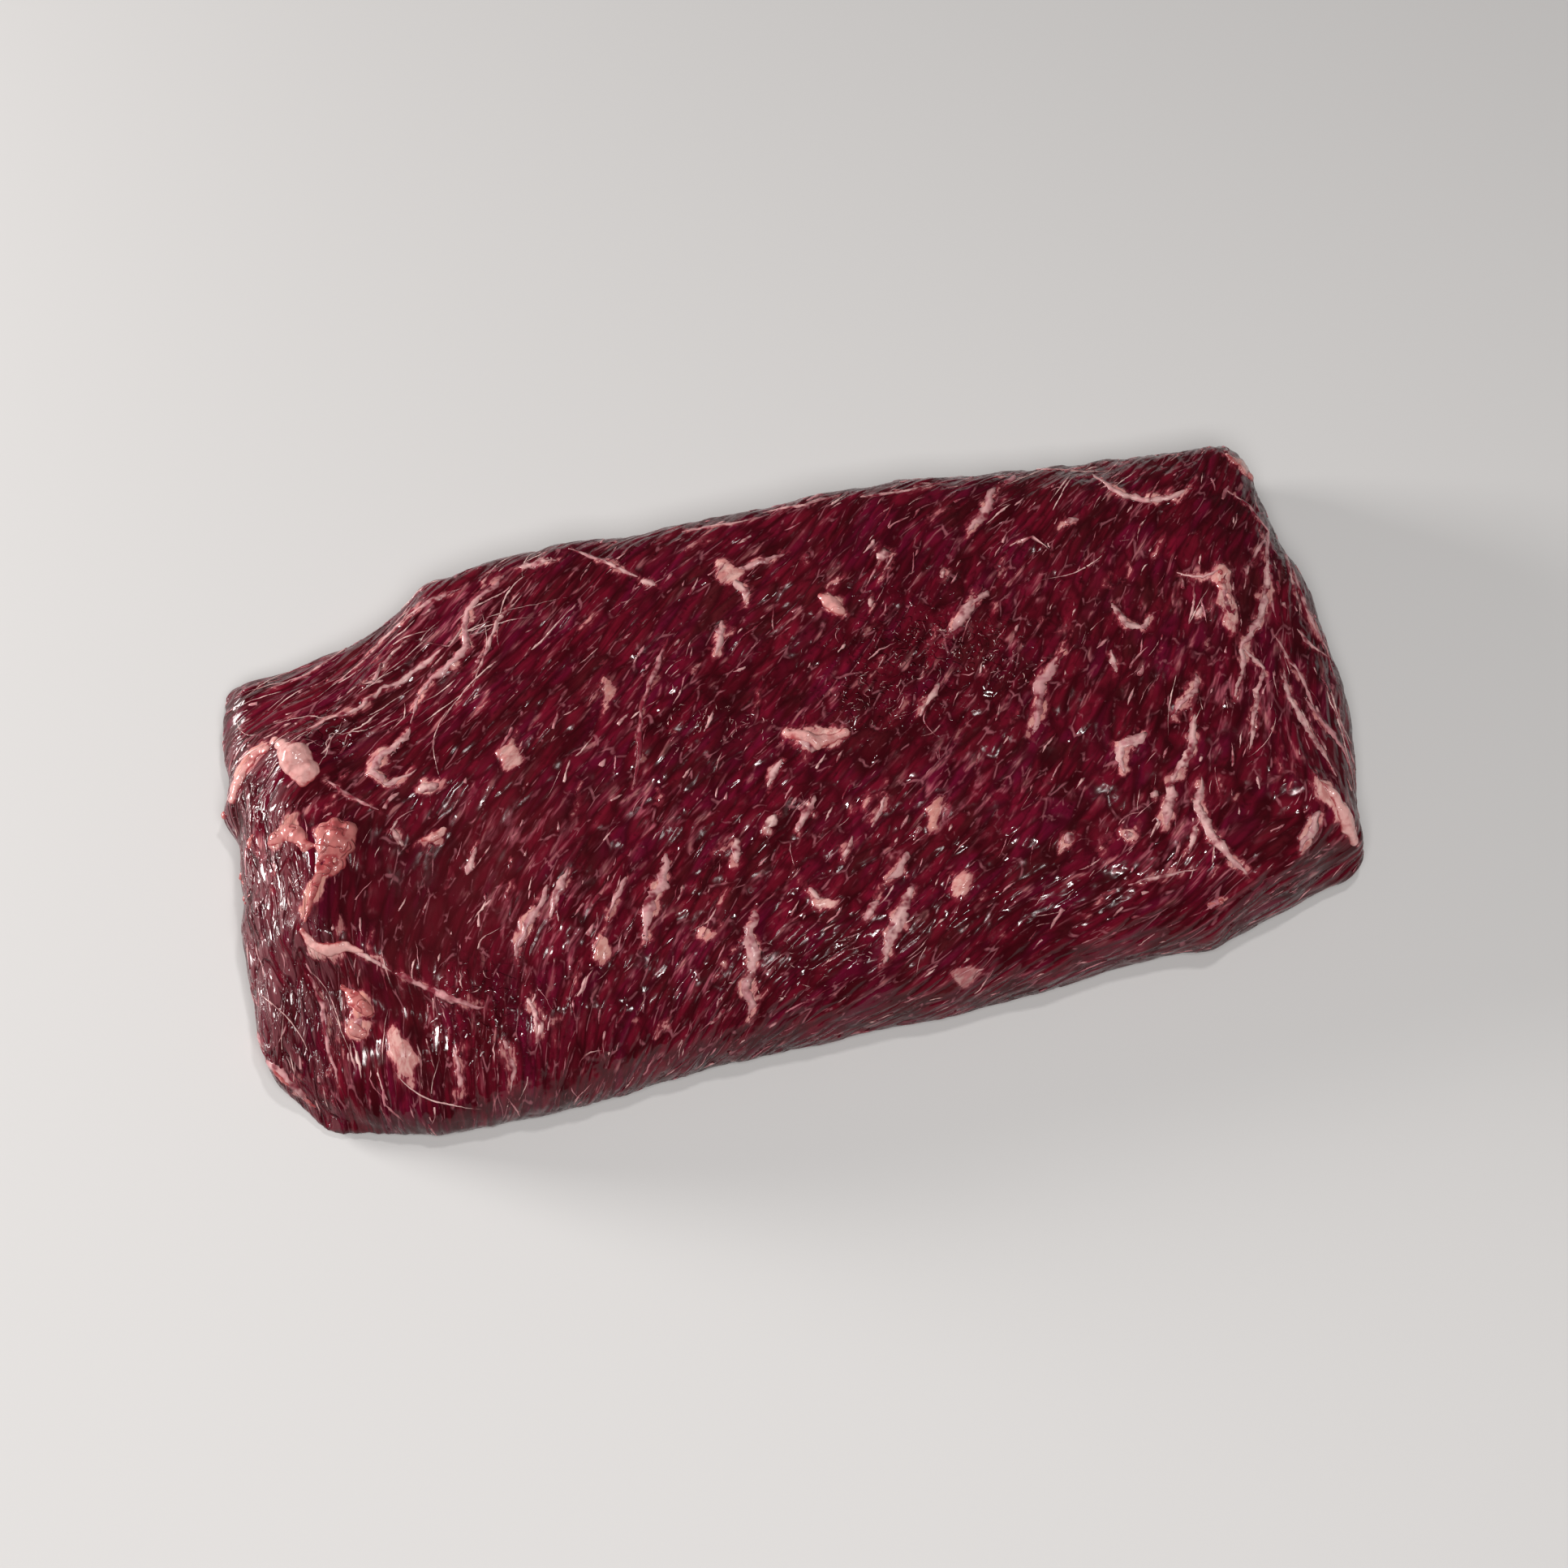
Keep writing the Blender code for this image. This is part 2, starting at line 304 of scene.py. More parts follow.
steakBody = {
    "voxel": 0.89 * mm,
    "smoothRounds": 4,
    "undersideBelow": 0.35 * mm,
    "undersideKept": 0.06,
    # bundles of fibre: width, length, height, and how far one end stands over the next
    "bundles": ((2.6, 17.0, 0.42, 0.12), (1.5, 11.0, 0.15, 0.05)),
    "wander": ((55, 0.9), (170, 0.35)),  # bumps per metre, millimetres
    "unevenness": ((70, 0.35), (260, 0.14)),
    "joint": 0.42,  # how wide the groove between two bundles is, as a share of their width
    "level": 0.75,  # share of a bundle's height that stays below the solid's own surface
    "step": 0.3,  # share of the height by which neighbours differ
    # how strongly each layer's grooves count, as painted shade in the flesh colour
    "hollows": (0.9, 0.6),
    "membraneCalm": 0.55,
    "silverCalm": 0.35,
    "fatCalm": 0.5,
    "fatRise": 0.30,
    "wetRise": 0.5,
    "wetBumps": 420,
    "seed": 11,
}


def copyOfNode(nodeName, pieceName):
    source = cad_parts[nodeName]
    piece = source.copy()
    piece.data = source.data.copy()
    piece.parent = None
    piece.matrix_world = Matrix.Identity(4)
    piece.name = piece.data.name = pieceName
    for key in list(piece.keys()):
        del piece[key]
    scene.collection.objects.link(piece)
    piece.data.materials.clear()
    editAll(piece, bpy.ops.mesh.remove_doubles, threshold=1e-5)
    return piece


def surfaceOf(obj):
    mesh = obj.data
    points, normals, _ = readMesh(mesh)
    tree = BVHTree.FromPolygons(points.tolist(), [tuple(p.vertices) for p in mesh.polygons])
    nearest = KDTree(len(points))
    for index, point in enumerate(points):
        nearest.insert(point, index)
    nearest.balance()
    return points, normals, tree, nearest


def relax(points, edges, rounds, share=0.5):
    count = len(points)
    i, j = edges.T
    links = np.bincount(i, minlength=count) + np.bincount(j, minlength=count)
    for _ in range(rounds):
        total = [np.bincount(i, points[j, k], count) + np.bincount(j, points[i, k], count) for k in range(3)]
        total = np.stack(total, axis=1)
        points = points + share * (total / links[:, None] - points)
    return points


def cells(u, v, seed):
    # an uneven paving of the plane: distance to the nearest joint, the cell's draw, and the place along it
    draws = np.random.default_rng(seed).random((256, 256, 3))
    baseU, baseV = np.floor(u).astype(int), np.floor(v).astype(int)
    first = np.full(len(u), np.inf)
    second = np.full(len(u), np.inf)
    own = np.zeros(len(u))
    along = np.zeros(len(u))
    for du in (-1, 0, 1):
        for dv in (-1, 0, 1):
            draw = draws[(baseU + du) % 256, (baseV + dv) % 256]
            offU = u - (baseU + du + 0.1 + 0.8 * draw[:, 0])
            offV = v - (baseV + dv + 0.1 + 0.8 * draw[:, 1])
            gap = np.hypot(offU, offV)
            nearer = gap < first
            second = np.where(nearer, first, np.minimum(second, gap))
            own = np.where(nearer, draw[:, 2], own)
            along = np.where(nearer, offV, along)
            first = np.where(nearer, gap, first)
    return second - first, own, along


def bundleRelief(points, flow):
    # rounded bundles lying over each other's ends, in metres, and how deep a point is between them, which the
    # flesh colour darkens as painted shade
    height = np.zeros(len(points))
    hollow = np.zeros(len(points))
    shift = sum(
        size * mm * np.array([noiseAt(points, bumps, 3.1), noiseAt(points, bumps, 9.7)])
        for bumps, size in steakBody["wander"]
    )
    across, along = flow + shift
    for layer, (width, length, rise, lap) in enumerate(steakBody["bundles"]):
        joint, own, off = cells(across / (width * mm), along / (length * mm), steakBody["seed"] + layer)
        dome = np.sqrt(np.clip(joint / steakBody["joint"], 0, 1))
        raised = rise * (dome - steakBody["level"] + steakBody["step"] * (own - 0.5))
        height += mm * (raised + lap * off)
        hollow = np.maximum(hollow, (1 - dome) * steakBody["hollows"][layer])
    return height, hollow


def buildBody():
    body = copyOfNode("flank_steak", "steakFlesh")
    applyModifier(body, "rounder", "SUBSURF", levels=2, render_levels=2)
    applyModifier(body, "evenCells", "REMESH", mode="VOXEL", voxel_size=steakBody["voxel"])
    mesh = body.data
    points, _, edges = readMesh(mesh)
    points = relax(points, edges, steakBody["smoothRounds"])
    writePoints(mesh, points)
    low = points[:, 2] < points[:, 2].min() + steakBody["undersideBelow"]
    group = body.vertex_groups.new(name="underside")
    group.add(np.flatnonzero(low).tolist(), 1.0, "REPLACE")
    kept = 1 - low.mean() * (1 - steakBody["undersideKept"])
    applyModifier(body, "plainUnderside", "DECIMATE", ratio=kept, vertex_group="underside")
    body.vertex_groups.clear()
    return body


# Zones of the surface, given by places in the photo

zones = {
    "silverSkin": {
        "from": -0.119,
        "to": -0.130,
        "floor": 0.003,
        "backLimit": 0.046,
        "frontLimit": -0.058,
        "outer": -0.133,
    },
    "hollow": {"pixel": (550, 1115), "reach": (0.033, 0.021), "turn": 40},
    # spots, as (pixel of the photo's frame, reach in metres)
    "stringy": (
        ((480, 820), 0.030), ((1570, 800), 0.028), ((590, 740), 0.026), ((1330, 610), 0.022),
        ((450, 1320), 0.022), ((380, 860), 0.018),
    ),
    "frost": (
        ((840, 897), 0.007), ((885, 893), 0.007), ((930, 897), 0.006), ((905, 1210), 0.007),
        ((980, 1192), 0.009), ((1060, 1180), 0.008), ((1080, 860), 0.009), ((1140, 800), 0.010),
        ((1195, 795), 0.008), ((1240, 830), 0.007),
    ),
    "marbled": (
        ((690, 1130), 0.020), ((650, 1030), 0.014), ((800, 1000), 0.011), ((1450, 1040), 0.015),
        ((560, 760), 0.018), ((1180, 970), 0.013), ((1560, 850), 0.017), ((860, 1200), 0.012),
    ),
    "wet": (
        ((1130, 800), 0.016), ((1060, 850), 0.010), ((1210, 800), 0.010), ((600, 1240), 0.012),
        ((400, 900), 0.008),
    ),
}


def onSurface(tree, pixel):
    origin, way = rayThrough(pixel)
    place = tree.ray_cast(origin, way)[0]
    if place is None:  # a pixel just past the outline takes the nearest point
        middle = Vector(cameraSetup["target"])
        place = tree.find_nearest(origin + way * (middle - origin).dot(way))[0]
    return place


def distancesFrom(pixel, points, tree):
    return np.linalg.norm(points - np.array(onSurface(tree, pixel)), axis=1)


def zoneMasks(points, tree):
    skin = zones["silverSkin"]
    silver = smoothStep(skin["from"], skin["to"], points[:, 0] + 0.004 * noiseAt(points, 60))
    silver *= smoothStep(0, skin["floor"], points[:, 2])
    silver *= 1 - smoothStep(skin["backLimit"] - 0.012, skin["backLimit"], points[:, 1])
    pastCorner = smoothStep(skin["frontLimit"], skin["frontLimit"] + 0.014, points[:, 1])
    silver *= np.maximum(pastCorner, smoothStep(skin["outer"] + 0.006, skin["outer"], points[:, 0]))
    hollow = zones["hollow"]
    centre = np.array(onSurface(tree, hollow["pixel"]))
    turn = math.radians(hollow["turn"])
    off = points - centre
    u = off[:, 0] * math.cos(turn) + off[:, 1] * math.sin(turn)
    v = off[:, 1] * math.cos(turn) - off[:, 0] * math.sin(turn)
    membrane = np.exp(-((u / hollow["reach"][0]) ** 2) - (v / hollow["reach"][1]) ** 2)
    spots = []
    for kind in ("wet", "marbled"):
        spot = np.zeros(len(points))
        for pixel, reach in zones[kind]:
            spot = np.maximum(spot, np.exp(-((distancesFrom(pixel, points, tree) / reach) ** 2)))
        spots.append(spot)
    return silver, membrane, *spots


# Fat: seams and flecks that the photo shows, as (width, warmth, strength, x, y, x, y and so on), with
# widths and places in the photo's pixels

fatSeams = (
    # thin corner
    (10, 0.5, 1.0, 621, 708, 594, 734, 575, 753, 575, 794, 562, 813, 531, 836, 515, 861, 505, 896),
    (11, 0.4, 1.0, 505, 896, 496, 912, 470, 931, 457, 950, 473, 966, 499, 957, 515, 944),
    (8, 0.3, 0.8, 547, 797, 518, 823, 492, 842, 470, 848, 448, 871, 409, 884, 371, 903),
    (6, 0.4, 0.7, 569, 724, 531, 740, 499, 762, 460, 801, 430, 830),
    (5, 0.3, 0.6, 530, 715, 480, 752, 440, 790, 380, 830, 330, 850),
    (5, 0.3, 0.6, 640, 730, 612, 765, 600, 800, 580, 850),
    (30, 0.3, 0.8, 633, 915, 623, 944),
    (14, 0.2, 0.8, 515, 972, 545, 966),
    (6, 0.6, 0.5, 400, 960, 440, 985, 470, 1000),
    (18, 0.5, 0.8, 748, 832, 750, 855, 742, 880),
    # middle
    (22, 0.3, 0.9, 885, 700, 910, 708),
    (12, 0.3, 0.8, 905, 715, 919, 730, 917, 745),
    (9, 0.5, 0.8, 910, 700, 940, 692, 970, 680),
    (24, 0.5, 1.0, 1012, 732, 1024, 744, 1040, 756),
    (10, 0.4, 0.9, 892, 765, 888, 785, 880, 810),
    (14, 0.3, 0.8, 1080, 684, 1102, 682),
    (12, 0.5, 0.8, 1225, 600, 1210, 632, 1190, 660),
    (13, 0.4, 0.9, 1216, 727, 1192, 752, 1165, 781),
    (24, 0.3, 1.0, 965, 901, 985, 907, 1003, 912, 1025, 909, 1043, 901),
    (14, 0.3, 1.0, 985, 905, 998, 920, 1012, 918),
    (7, 0.6, 0.3, 823, 785, 807, 826, 791, 871, 788, 919, 779, 976),
    (9, 0.2, 0.6, 1158, 842, 1145, 862, 1130, 887),
    (9, 0.1, 0.5, 1164, 700, 1160, 716),
    (8, 0.2, 0.7, 1074, 735, 1070, 752),
    (8, 0.2, 0.6, 995, 680, 988, 694),
    (10, 0.4, 0.9, 1002, 979, 996, 998, 980, 1030),
    (7, 0.3, 0.8, 962, 935, 950, 958, 945, 974),
    # cut end
    (9, 0.3, 1.0, 1346, 584, 1372, 604, 1409, 616, 1441, 612, 1473, 600),
    (20, 0.4, 1.0, 1508, 556, 1537, 581, 1566, 612),
    (15, 0.4, 0.8, 1322, 636, 1310, 648),
    (18, 0.2, 0.8, 1499, 702, 1510, 712, 1511, 737, 1521, 765, 1517, 783),
    (9, 0.3, 0.7, 1559, 660, 1562, 711, 1556, 756, 1531, 794, 1531, 826, 1518, 864),
    (7, 0.3, 0.7, 1531, 794, 1556, 823, 1547, 868, 1539, 928),
    (6, 0.3, 0.6, 1566, 618, 1580, 660, 1592, 712, 1606, 760),
    (5, 0.5, 0.6, 1510, 602, 1540, 625, 1563, 655, 1560, 700, 1556, 745),
    (5, 0.5, 0.5, 1563, 655, 1548, 680, 1538, 700, 1530, 730),
    (7, 0.5, 0.6, 1593, 699, 1612, 755, 1635, 801, 1645, 840),
    (6, 0.5, 0.6, 1570, 782, 1593, 819, 1605, 838, 1622, 880),
    (8, 0.7, 0.7, 1606, 860, 1626, 884, 1654, 921, 1668, 954),
    (5, 0.4, 0.5, 1640, 860, 1655, 900, 1668, 940, 1680, 985),
    (6, 0.3, 0.7, 1450, 706, 1482, 711, 1508, 700),
    (10, 0.3, 0.9, 1371, 743, 1387, 769, 1406, 772, 1422, 756),
    (8, 0.2, 0.7, 1368, 801, 1378, 832),
    (12, 0.6, 0.8, 1314, 801, 1298, 817, 1282, 842, 1282, 868, 1269, 909),
    (10, 0.4, 0.8, 1473, 829, 1470, 848, 1441, 887),
    (14, 0.3, 0.9, 1413, 903, 1382, 922, 1384, 957),
    (11, 0.3, 0.7, 1472, 880, 1464, 935, 1441, 966, 1435, 998),
    (8, 0.3, 0.7, 1482, 748, 1472, 764),
    (7, 0.3, 0.7, 1598, 775, 1617, 797, 1642, 813),
    (8, 0.3, 0.8, 1582, 823, 1588, 858, 1610, 896, 1633, 931, 1650, 960),
    (22, 0.3, 1.0, 1615, 950, 1632, 972, 1650, 996, 1665, 1017, 1676, 1040),
    (11, 0.3, 0.9, 1480, 957, 1476, 992, 1492, 1024, 1515, 1056, 1543, 1085),
    (7, 0.3, 0.7, 1473, 1018, 1464, 1056),
    (12, 0.4, 0.8, 1445, 967, 1435, 1021),
    (8, 0.3, 0.7, 1424, 974, 1420, 988),
    (14, 0.4, 0.9, 1626, 999, 1612, 1028, 1601, 1053),
    (16, 0.3, 0.8, 1386, 1026, 1400, 1030),
    (12, 0.5, 0.8, 1318, 1026, 1314, 1044),
    (10, 0.9, 0.8, 1488, 1113, 1509, 1111),
    (5, 0.3, 0.6, 1390, 1090, 1440, 1078, 1480, 1070),
    # lower middle
    (14, 0.5, 0.9, 823, 1052, 817, 1087, 798, 1129, 791, 1157, 804, 1160),
    (14, 0.4, 0.9, 929, 1122, 925, 1157, 932, 1186, 919, 1221, 929, 1237, 922, 1259),
    (11, 0.4, 0.8, 1117, 1049, 1107, 1071, 1091, 1090),
    (16, 0.3, 0.8, 1126, 1093, 1110, 1119, 1098, 1148, 1094, 1180, 1088, 1192),
    (10, 0.4, 0.7, 1082, 1109, 1063, 1138),
    (18, 0.3, 0.9, 1008, 1112, 1028, 1114),
    (9, 0.3, 0.8, 1010, 1108, 992, 1090),
    (18, 0.7, 0.8, 1162, 985, 1152, 1005, 1145, 1027),
    (34, 0.4, 0.8, 1186, 1078, 1180, 1100),
    (18, 0.5, 0.8, 866, 1140, 868, 1156),
    (7, 0.3, 0.7, 1091, 982, 1081, 1004, 1072, 1023),
    (9, 0.3, 0.7, 909, 1033, 906, 1068),
    (11, 0.0, 0.6, 957, 1004, 948, 1015, 938, 1027),
    (18, 0.0, 0.5, 1180, 1206, 1200, 1204),
    (7, 0.3, 0.7, 1050, 1030, 1034, 1065),
    (18, 0.6, 0.8, 742, 1150, 738, 1184),
    (10, 0.5, 0.7, 674, 1090, 661, 1119, 642, 1154, 633, 1189),
    (9, 0.4, 0.7, 700, 1070, 688, 1100, 676, 1135),
    (8, 0.5, 0.6, 770, 1080, 756, 1110, 748, 1140),
    (8, 0.3, 0.6, 650, 1230, 668, 1262, 660, 1290),
    # rounded end
    (36, 0.4, 1.0, 352, 922, 372, 934),
    (20, 0.6, 0.9, 285, 985, 294, 955, 312, 926, 335, 915),
    (34, 0.9, 0.9, 400, 1022, 424, 1030),
    (18, 0.8, 0.9, 412, 1045, 403, 1071, 387, 1090, 378, 1119, 374, 1135),
    (22, 0.7, 0.7, 340, 1040, 356, 1018, 372, 1034),
    (17, 0.1, 1.0, 372, 1150, 385, 1172, 405, 1176, 432, 1168),
    (8, 0.1, 0.8, 432, 1168, 455, 1180, 486, 1199),
    (28, 0.9, 0.9, 436, 1228, 448, 1242),
    (16, 0.6, 0.8, 434, 1262, 446, 1274),
    (20, 0.3, 0.8, 484, 1266, 492, 1290, 502, 1312, 508, 1340),
    (9, 0.6, 0.5, 486, 1199, 527, 1218, 569, 1237, 601, 1243),
    (12, 0.5, 0.9, 312, 1284, 326, 1306, 352, 1332, 388, 1364),
    (18, 0.2, 0.7, 520, 1034, 544, 1030),
    (9, 0.2, 0.7, 480, 1022, 492, 1034, 500, 1046),
    (9, 0.3, 0.7, 575, 1078, 582, 1058, 590, 1040),
    (12, 0.7, 0.8, 316, 1272, 324, 1292),
    (6, 0.6, 0.4, 380, 1200, 398, 1240, 404, 1290, 418, 1340),
    (7, 0.5, 0.6, 560, 1290, 568, 1330, 566, 1360),
    (6, 0.4, 0.6, 620, 1280, 632, 1320, 630, 1350),
    # back edge
    (12, 0.3, 0.8, 640, 700, 664, 692, 690, 690),
    (6, 0.3, 0.7, 700, 676, 740, 690, 792, 712),
    (10, 0.3, 0.8, 790, 715, 812, 722),
    (6, 0.4, 0.7, 840, 655, 880, 648, 930, 640),
    (5, 0.3, 0.6, 940, 632, 990, 622, 1040, 608),
    (5, 0.3, 0.6, 1060, 612, 1110, 606, 1180, 590),
    (5, 0.3, 0.6, 1240, 580, 1290, 578, 1340, 580),
)

# More of the same between them, drawn at random along the grain, and wisps that the wider seams send out
fatFlecks = {
    "count": 130,
    "length": (2.0, 9.0),
    "width": (0.5, 1.3),
    "strength": (0.35, 0.9),
    "seed": 5,
}
# how the fat's outline is drawn about, as (bumps per metre, millimetres, shift)
fatWarp = ((240, 1.7, 1.1), (240, 1.7, 4.4), (240, 1.0, 8.8), (600, 0.8, 2.7), (600, 0.8, 6.1))
fatSteps = 0.7  # millimetres between the points of a fleck or a wisp
fatOutside = -1.6  # depth given to what is far from any fat, in millimetres
fatReach = 4 * mm
fatWisps = {
    "fromWidth": 11,  # pixels
    "each": 4,
    "length": (3.0, 9.0),
    "width": (0.7, 1.5),
    "strength": 0.8,  # share of the seam's
}


# how a seam drawn on the photo swells and tapers: pixels between samples, width at its ends, how soon it
# widens, usual width, and swellings as (bumps per pixel, share, shift)
seamShape = {
    "step": 4,
    "ends": 0.12,
    "power": 0.7,
    "usual": 1.1,
    "swellings": ((0.05, 0.9, 1.7), (0.14, 0.5, 4.2)),
}


def walk(place, ways, nearest, tree, length):
    # points along the grain over the surface, both ways from a place
    step = fatSteps * mm
    halves = []
    for sense in (1, -1):
        here, half = Vector(place), []
        for _ in range(int(length / 2 / step)):
            here = here + Vector(ways[nearest.find(here)[1]]) * (sense * step)
            here = tree.find_nearest(here)[0]
            half.append(here)
        halves.append(half)
    return halves[1][::-1] + [tree.find_nearest(Vector(place))[0]] + halves[0]


def seamSamples(tree, route, width):
    # places along a route drawn on the photo, with the seam's half width at each
    pixels = [Vector(route[k:k + 2]) for k in range(0, len(route), 2)]
    spots = []
    for start, end in zip(pixels, pixels[1:]):
        steps = max(2, int((end - start).length / seamShape["step"]))
        spots += [start.lerp(end, k / steps) for k in range(steps)]
    spots.append(pixels[-1])
    samples = []
    for k, spot in enumerate(spots):
        wide = math.sin(math.pi * k / (len(spots) - 1)) ** seamShape["power"]
        half = width / 2 * pixelSize() * (seamShape["ends"] + (1 - seamShape["ends"]) * wide)
        swell = seamShape["usual"]
        for bumps, share, shift in seamShape["swellings"]:
            swell += share * noise.noise((spot.x * bumps, spot.y * bumps, shift))
        samples.append((*onSurface(tree, spot), half * swell))
    return np.array(samples)


def fatField(points, tree, ways, nearest):
    # how far inside the fat a point is, in millimetres, with the fat's warmth and strength
    warp = [noiseAt(points, bumps, shift) * size * mm for bumps, size, shift in fatWarp]
    points = points + np.column_stack([warp[0] + warp[3], warp[1] + warp[4], warp[2]])
    depth = np.full(len(points), fatOutside)
    warmth, strength = np.zeros(len(points)), np.zeros(len(points))

    def lay(samples, warm, strong):
        low, high = samples[:, :3].min(axis=0) - fatReach, samples[:, :3].max(axis=0) + fatReach
        close = np.flatnonzero(((points > low) & (points < high)).all(axis=1))
        if not len(close):
            return
        gap = np.linalg.norm(points[close][:, None, :] - samples[None, :, :3], axis=2)
        inside = ((samples[:, 3] - gap) / mm).max(axis=1)
        wins = inside > depth[close]
        won = close[wins]
        depth[won], warmth[won], strength[won] = inside[wins], warm, strong

    draw = random.Random(fatFlecks["seed"])
    low, high = points.min(axis=0), points.max(axis=0)
    for _ in range(fatFlecks["count"]):
        place = (draw.uniform(low[0], high[0]), draw.uniform(low[1], high[1]), high[2])
        length, width, strong = (draw.uniform(*fatFlecks[key]) for key in ("length", "width", "strength"))
        path = walk(place, ways, nearest, tree, length * mm)
        samples = [
            (*spot, width / 2 * mm * math.sin(math.pi * (k + 0.7) / (len(path) + 0.4)) ** 0.7)
            for k, spot in enumerate(path)
        ]
        lay(np.array(samples), draw.uniform(0.1, 0.7), strong)
    for width, warm, strong, *route in fatSeams:
        seam = seamSamples(tree, route, width)
        lay(seam, warm, strong)
        for _ in range(fatWisps["each"] if width >= fatWisps["fromWidth"] else 0):
            length, broad = (draw.uniform(*fatWisps[key]) * mm for key in ("length", "width"))
            path = walk(seam[draw.randrange(len(seam)), :3], ways, nearest, tree, length)
            path = path[len(path) // 2:] if draw.random() < 0.5 else path[len(path) // 2::-1]
            wisp = [(*spot, broad / 2 * (1 - k / len(path))) for k, spot in enumerate(path)]
            lay(np.array(wisp), warm, strong * fatWisps["strength"])
    return depth, warmth, strength


def finishBody(body):
    mesh = body.data
    points, normals, edges = readMesh(mesh)
    ways = grainWays(points, normals)
    flow = grainFlow(points, normals, edges, ways)
    print("grain combed over", len(points), "points")
    tree, nearest = surfaceOf(body)[2:]
    fat = fatField(points, tree, ways, nearest)
    print("fat laid in")
    silver, membrane, wet, marbled = zoneMasks(points, tree)
    relief, hollow = bundleRelief(points, flow)
    calm = (1 - steakBody["membraneCalm"] * membrane) * (1 - steakBody["silverCalm"] * silver)
    inFat = smoothStep(-0.4, 0.5, fat[0]) * fat[2]
    relief *= calm * (1 - steakBody["fatCalm"] * inFat)
    relief += inFat * steakBody["fatRise"] * mm
    for bumps, size in steakBody["unevenness"]:
        relief += size * mm * noiseAt(points, bumps, 5.3) * calm
    relief += steakBody["wetRise"] * mm * wet * noiseAt(points, steakBody["wetBumps"], 2.2)
    free = smoothStep(0.2 * mm, 3 * mm, points[:, 2])
    points = points + normals * (relief * free)[:, None]
    cadLow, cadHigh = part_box("flank_steak")
    points = np.clip(points, np.array(cadLow), np.array(cadHigh))
    writePoints(mesh, points)
    writeVectors(mesh, "grainFlow", *flow)
    writeVectors(mesh, "fatField", *fat)
    writeVectors(mesh, "zoneMasks", silver, membrane, wet)
    # groove depth for the painted shade in the flesh colour, and the marbled spots
    writeVectors(mesh, "hollows", hollow * calm, marbled)
    smoothShaded(body)
    return ways, wet


# Materials

def addNode(kind, inputs, tree=None, **settings):
    # a node joins the tree that its first link comes from
    tree = tree or next(value.id_data for value in inputs.values() if isinstance(value, bpy.types.NodeSocket))
    made = tree.nodes.new("ShaderNode" + kind)
    for name, value in settings.items():
        setattr(made, name, value)
    setInputs(made, inputs)
    return made


def calc(operation, first, second=0.0, third=0.0):
    links = {0: first, 1: second}
    if operation == "MULTIPLY_ADD":
        links[2] = third
    return addNode("Math", links, operation=operation).outputs[0]


def scaled(value, factor, plus):
    return calc("MULTIPLY_ADD", value, factor, plus)


def ramp(value, fromLow, fromHigh, toLow=0.0, toHigh=1.0):
    links = {"Value": value, "From Min": fromLow, "From Max": fromHigh, "To Min": toLow, "To Max": toHigh}
    return addNode("MapRange", links, interpolation_type="SMOOTHSTEP").outputs["Result"]


def times(first, second):
    return calc("MULTIPLY", first, second)


def vectorCalc(operation, links):
    return addNode("VectorMath", links, operation=operation).outputs[0]


def mixColour(factor, first, second):
    return addNode("Mix", {0: factor, 6: first, 7: second}, data_type="RGBA").outputs[2]


def bumpyNoise(place, scale, detail):
    return addNode("TexNoise", {"Vector": place, "Scale": scale, "Detail": detail}).outputs[0]


def attributeParts(tree, name):
    vector = addNode("Attribute", {}, tree, attribute_name=name).outputs["Vector"]
    return tuple(addNode("SeparateXYZ", {0: vector}).outputs)


def grainPlace(given):
    # the flow coordinates, counted in the given widths and lengths
    parts = addNode("SeparateXYZ", {0: given.outputs["Flow"]}).outputs
    across = calc("DIVIDE", times(parts["X"], 1000.0), given.outputs["Width"])
    along = calc("DIVIDE", times(parts["Y"], 1000.0), given.outputs["Length"])
    return addNode("CombineXYZ", {0: across, 1: along, 2: given.outputs["Seed"]}).outputs[0]


def placeGroup(name, flow, **values):
    return addNode("Group", {"Flow": flow, **values}, node_tree=bpy.data.node_groups[name]).outputs


def newGroup(name, inputs, outputs):
    # takes the flow coordinates and some numbers, each with its usual value
    group = bpy.data.node_groups.new(name, "ShaderNodeTree")
    group.interface.new_socket("Flow", in_out="INPUT", socket_type="NodeSocketVector")
    for label, value in inputs.items():
        socket = group.interface.new_socket(label, in_out="INPUT", socket_type="NodeSocketFloat")
        socket.default_value = value
    for label in outputs:
        group.interface.new_socket(label, in_out="OUTPUT", socket_type="NodeSocketFloat")
    return group, group.nodes.new("NodeGroupInput"), group.nodes.new("NodeGroupOutput")


def fibreStreaksGroup():
    # noise drawn out along the grain: width and length in millimetres
    usual = {"Width": 1.0, "Length": 8.0, "Seed": 0.0, "Wander": 0.6, "Detail": 3.0}
    group, given, result = newGroup("fibreStreaks", usual, ("Streak", "Ridge"))
    links = {"Vector": grainPlace(given), "Scale": 1.0, "Roughness": 0.55}
    links |= {"Detail": given.outputs["Detail"], "Distortion": given.outputs["Wander"]}
    streak = addNode("TexNoise", links).outputs[0]
    fold = calc("ABSOLUTE", scaled(streak, 2.0, -1.0))
    setInputs(result, {"Streak": streak, "Ridge": calc("SUBTRACT", 1.0, fold)})


def streaks(flow, width, length, seed, wander=0.6, detail=3.0):
    return placeGroup(
        "fibreStreaks", flow, Width=width, Length=length, Seed=seed, Wander=wander, Detail=detail
    )


